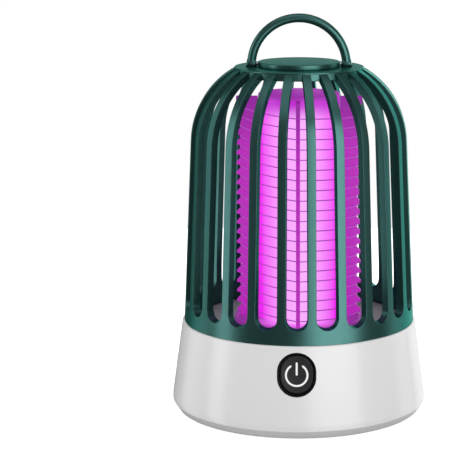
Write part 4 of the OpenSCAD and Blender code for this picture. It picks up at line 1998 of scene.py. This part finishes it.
@dataclass
class Studio:
    """Pale floor, soft panels, white surroundings and the camera."""

    camera_distance: float = 861.74
    camera_height: float = 260.54
    camera_turn: float = 1.07
    pitch: float = 11.231
    lens: float = 142.7
    shift: float = -0.160
    floor_r: float = 0.45
    floor_tint: float = 0.86
    soft_light: float = 0.86
    dark_sheen: float = 0.13
    panels: tuple[SoftBox, ...] = (
        SoftBox("key_sheen", Reach.SHEEN, 33.5, 0.95, 0.05, (0.82, 1.4), 2.75),
        SoftBox("left_sheen", Reach.SHEEN, -76.0, 0.95, 0.05, (0.28, 1.4), 2.6),
        SoftBox("left_back_sheen", Reach.SHEEN, -112.0, 0.95, 0.05, (0.46, 1.4), 0.95),
        SoftBox("right_sheen", Reach.SHEEN, 112.0, 0.95, 0.05, (0.4, 1.4), 1.05),
        SoftBox("right_back_sheen", Reach.SHEEN, 140.0, 0.95, 0.05, (0.4, 1.4), 1.35),
        SoftBox("back_sheen", Reach.SHEEN, 163.0, 0.95, 0.0, (0.25, 1.3), 1.9),
        SoftBox("over_back_sheen", Reach.SHEEN, 180.0, 1.0, 0.42, (0.9, 0.36), 0.55),
        SoftBox("over_sheen", Reach.SHEEN, 0.0, 0.25, 1.1, (1.3, 1.1), 0.75, 0.1),
        SoftBox("key_fill", Reach.FILL, 30.0, 1.0, 0.75, (0.7, 0.7), 0.9, 0.05),
    )

    def build(self) -> None:
        """Sets the whole studio up."""
        self._camera()
        self._floor()
        self._world()
        for panel in self.panels:
            panel.build()
        bpy.context.scene.view_settings.view_transform = "Standard"

    def _camera(self) -> None:
        """Places the camera."""
        data = bpy.data.cameras.new("camera")
        data.lens = self.lens
        data.sensor_width = 36.0
        data.shift_x = self.shift
        data.clip_start, data.clip_end = 0.05, 20.0
        camera = bpy.data.objects.new("camera", data)
        turn = math.radians(self.camera_turn)
        camera.location = (
            self.camera_distance * math.sin(turn) * MM,
            -self.camera_distance * math.cos(turn) * MM,
            self.camera_height * MM,
        )
        camera.rotation_euler = (math.radians(90 - self.pitch), 0, turn)
        bpy.context.scene.collection.objects.link(camera)
        bpy.context.scene.camera = camera

    def _floor(self) -> None:
        """Adds a round pale floor."""
        shape = Shape("studio_floor")
        radius = self.floor_r / MM
        shape.lathe([(0, -2), (radius, -2), (radius, -0.05), (0, -0.05)], 96)
        floor = shape.close()
        floor.data.materials.append(self._floor_material())
        floor.visible_glossy = False

    def _floor_material(self) -> bpy.types.Material:
        """Matt white, lit up where it is seen straight on.

        Returns:
            The material.
        """
        material = bpy.data.materials.new("pale_floor")
        material.use_nodes = True
        graph = Graph(material.node_tree)
        shader = material.node_tree.nodes["Principled BSDF"]
        tint = self.floor_tint
        shader.inputs["Base Color"].default_value = (tint, tint, tint, 1.0)
        shader.inputs["Roughness"].default_value = 0.9
        shader.inputs["Emission Color"].default_value = (1.0, 1.0, 1.0, 1.0)
        path = graph.add("LightPath")
        seen = graph.sum("MULTIPLY", path.outputs["Is Camera Ray"], tint)
        graph.join(seen, shader.inputs["Emission Strength"])
        return material

    def _world(self) -> None:
        """White seen straight on, soft as light, and dim in the sheen between the panels."""
        world = bpy.data.worlds.new("surround")
        world.use_nodes = True
        graph = Graph(world.node_tree)
        world.node_tree.nodes.clear()
        path = graph.add("LightPath")
        span = (0.0, 1.0, self.soft_light, self.dark_sheen)
        level = graph.spread(path.outputs["Is Glossy Ray"], span)
        strength = graph.sum("MAXIMUM", level, path.outputs["Is Camera Ray"])
        surround = graph.add("Background", Color=(1.0, 1.0, 1.0, 1.0))
        end = graph.add("OutputWorld")
        graph.join(strength, surround.inputs["Strength"])
        graph.join(surround.outputs["Background"], end.inputs["Surface"])
        bpy.context.scene.world = world


# ---- Assembly ----


def dress_inner_nodes(nodes: dict[str, bpy.types.Object], palette: Palette) -> None:
    """Gives the CAD nodes that stay their finishes.

    Args:
        nodes: The frame's nodes.
        palette: The finishes.
    """
    for name, finish in INNER_FINISHES.items():
        data = nodes[name].data
        data.materials.clear()
        data.materials.append(palette.of(finish))
        LOG.info("%s keeps its CAD shape", name)


def build_cage(sizes: Measures, palette: Palette) -> None:
    """Builds the pieces of the cage and its handle.

    Args:
        sizes: The frame's measures.
        palette: The finishes.
    """
    teal = palette.of(TEAL)
    finish_piece(CageWall(sizes).build(), teal, Body.CAGE, Slot.CAGE, "cage_band", "cage_ribs")
    finish_piece(CageTop(sizes).build(), teal, Body.CAGE, Slot.CAGE, "cage_crown")
    finish_piece(TopDisc(sizes).build(), teal, Body.CAGE, Slot.CAGE, "top_disc")
    handle = Handle(sizes)
    finish_piece(handle.build(), teal, Body.HANDLE, Slot.CAGE, "carry_handle")
    finish_piece(handle.build_pins(), palette.of(STEEL), Body.CAGE, Slot.STEEL, "handle_pins")


def build_base(sizes: Measures, palette: Palette) -> None:
    """Builds the base and its button.

    Args:
        sizes: The frame's measures.
        palette: The finishes.
    """
    base = BaseHousing(sizes)
    button = ButtonSet(-base.wall_r(base.button_z), base.button_z, base.tilt)
    white = palette.of(WHITE_GLOSS)
    finish_piece(base.build(button), white, Body.BASE, Slot.HOUSING, "base_shell")
    finish_piece(base.build_cover(), palette.of(WHITE_SATIN), Body.BASE, Slot.COVER, "bottom_cover")
    finish_piece(base.build_feet(), palette.of(RUBBER), Body.BASE, Slot.RUBBER, "rubber_feet")
    black, grey, mark = (palette.of(f) for f in (BEZEL_BLACK, CAP_GREY, SYMBOL_WHITE))
    finish_piece(button.build_bezel(), black, Body.BASE, Slot.BUTTON_BLACK, "button_bezel")
    finish_piece(button.build_cap(), grey, Body.BUTTON, Slot.BUTTON_GREY, "power_button")
    finish_piece(button.build_mark(), mark, Body.BUTTON, Slot.SYMBOL, "button_symbol")


def build_core(sizes: Measures, palette: Palette) -> None:
    """Builds the deck, the lamp and the grid.

    Args:
        sizes: The frame's measures.
        palette: The finishes.
    """
    core = Core(sizes)
    purple = palette.of(COMB_PURPLE)
    finish_piece(core.build_deck(), palette.of(DECK_GREY), Body.BASE, Slot.DECK, "deck_plate")
    finish_piece(core.build_foot(), palette.of(FOOT_PURPLE), Body.BASE, Slot.CORE, "core_flange")
    for comb in core.build_combs():
        finish_piece(comb, purple, Body.BASE, Slot.CORE, "grid_combs")
    steel = palette.of(WIRE_STEEL)
    for start, name in enumerate(("wire_live", "wire_return")):
        finish_piece(core.build_wire(name, start), steel, Body.BASE, Slot.WIRE, "grid_" + name)
    finish_piece(core.build_tube(), palette.of(LitTube()), Body.BASE, Slot.DIFFUSER, "lamp_tube")
    finish_piece(core.build_cap(), palette.of(CAP_PURPLE), Body.BASE, Slot.LAMP_CAP, "lamp_cap")


def main() -> None:
    """Builds the whole scene around the frame."""
    logging.basicConfig(level=logging.INFO, format="%(name)s: %(message)s")
    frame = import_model()
    sizes = Measures.read()
    palette = Palette(Effects())
    Studio().build()
    build_base(sizes, palette)
    build_core(sizes, palette)
    build_cage(sizes, palette)
    dress_inner_nodes(frame["nodes"], palette)
    bpy.context.view_layer.update()


if __name__ == "__main__":
    main()
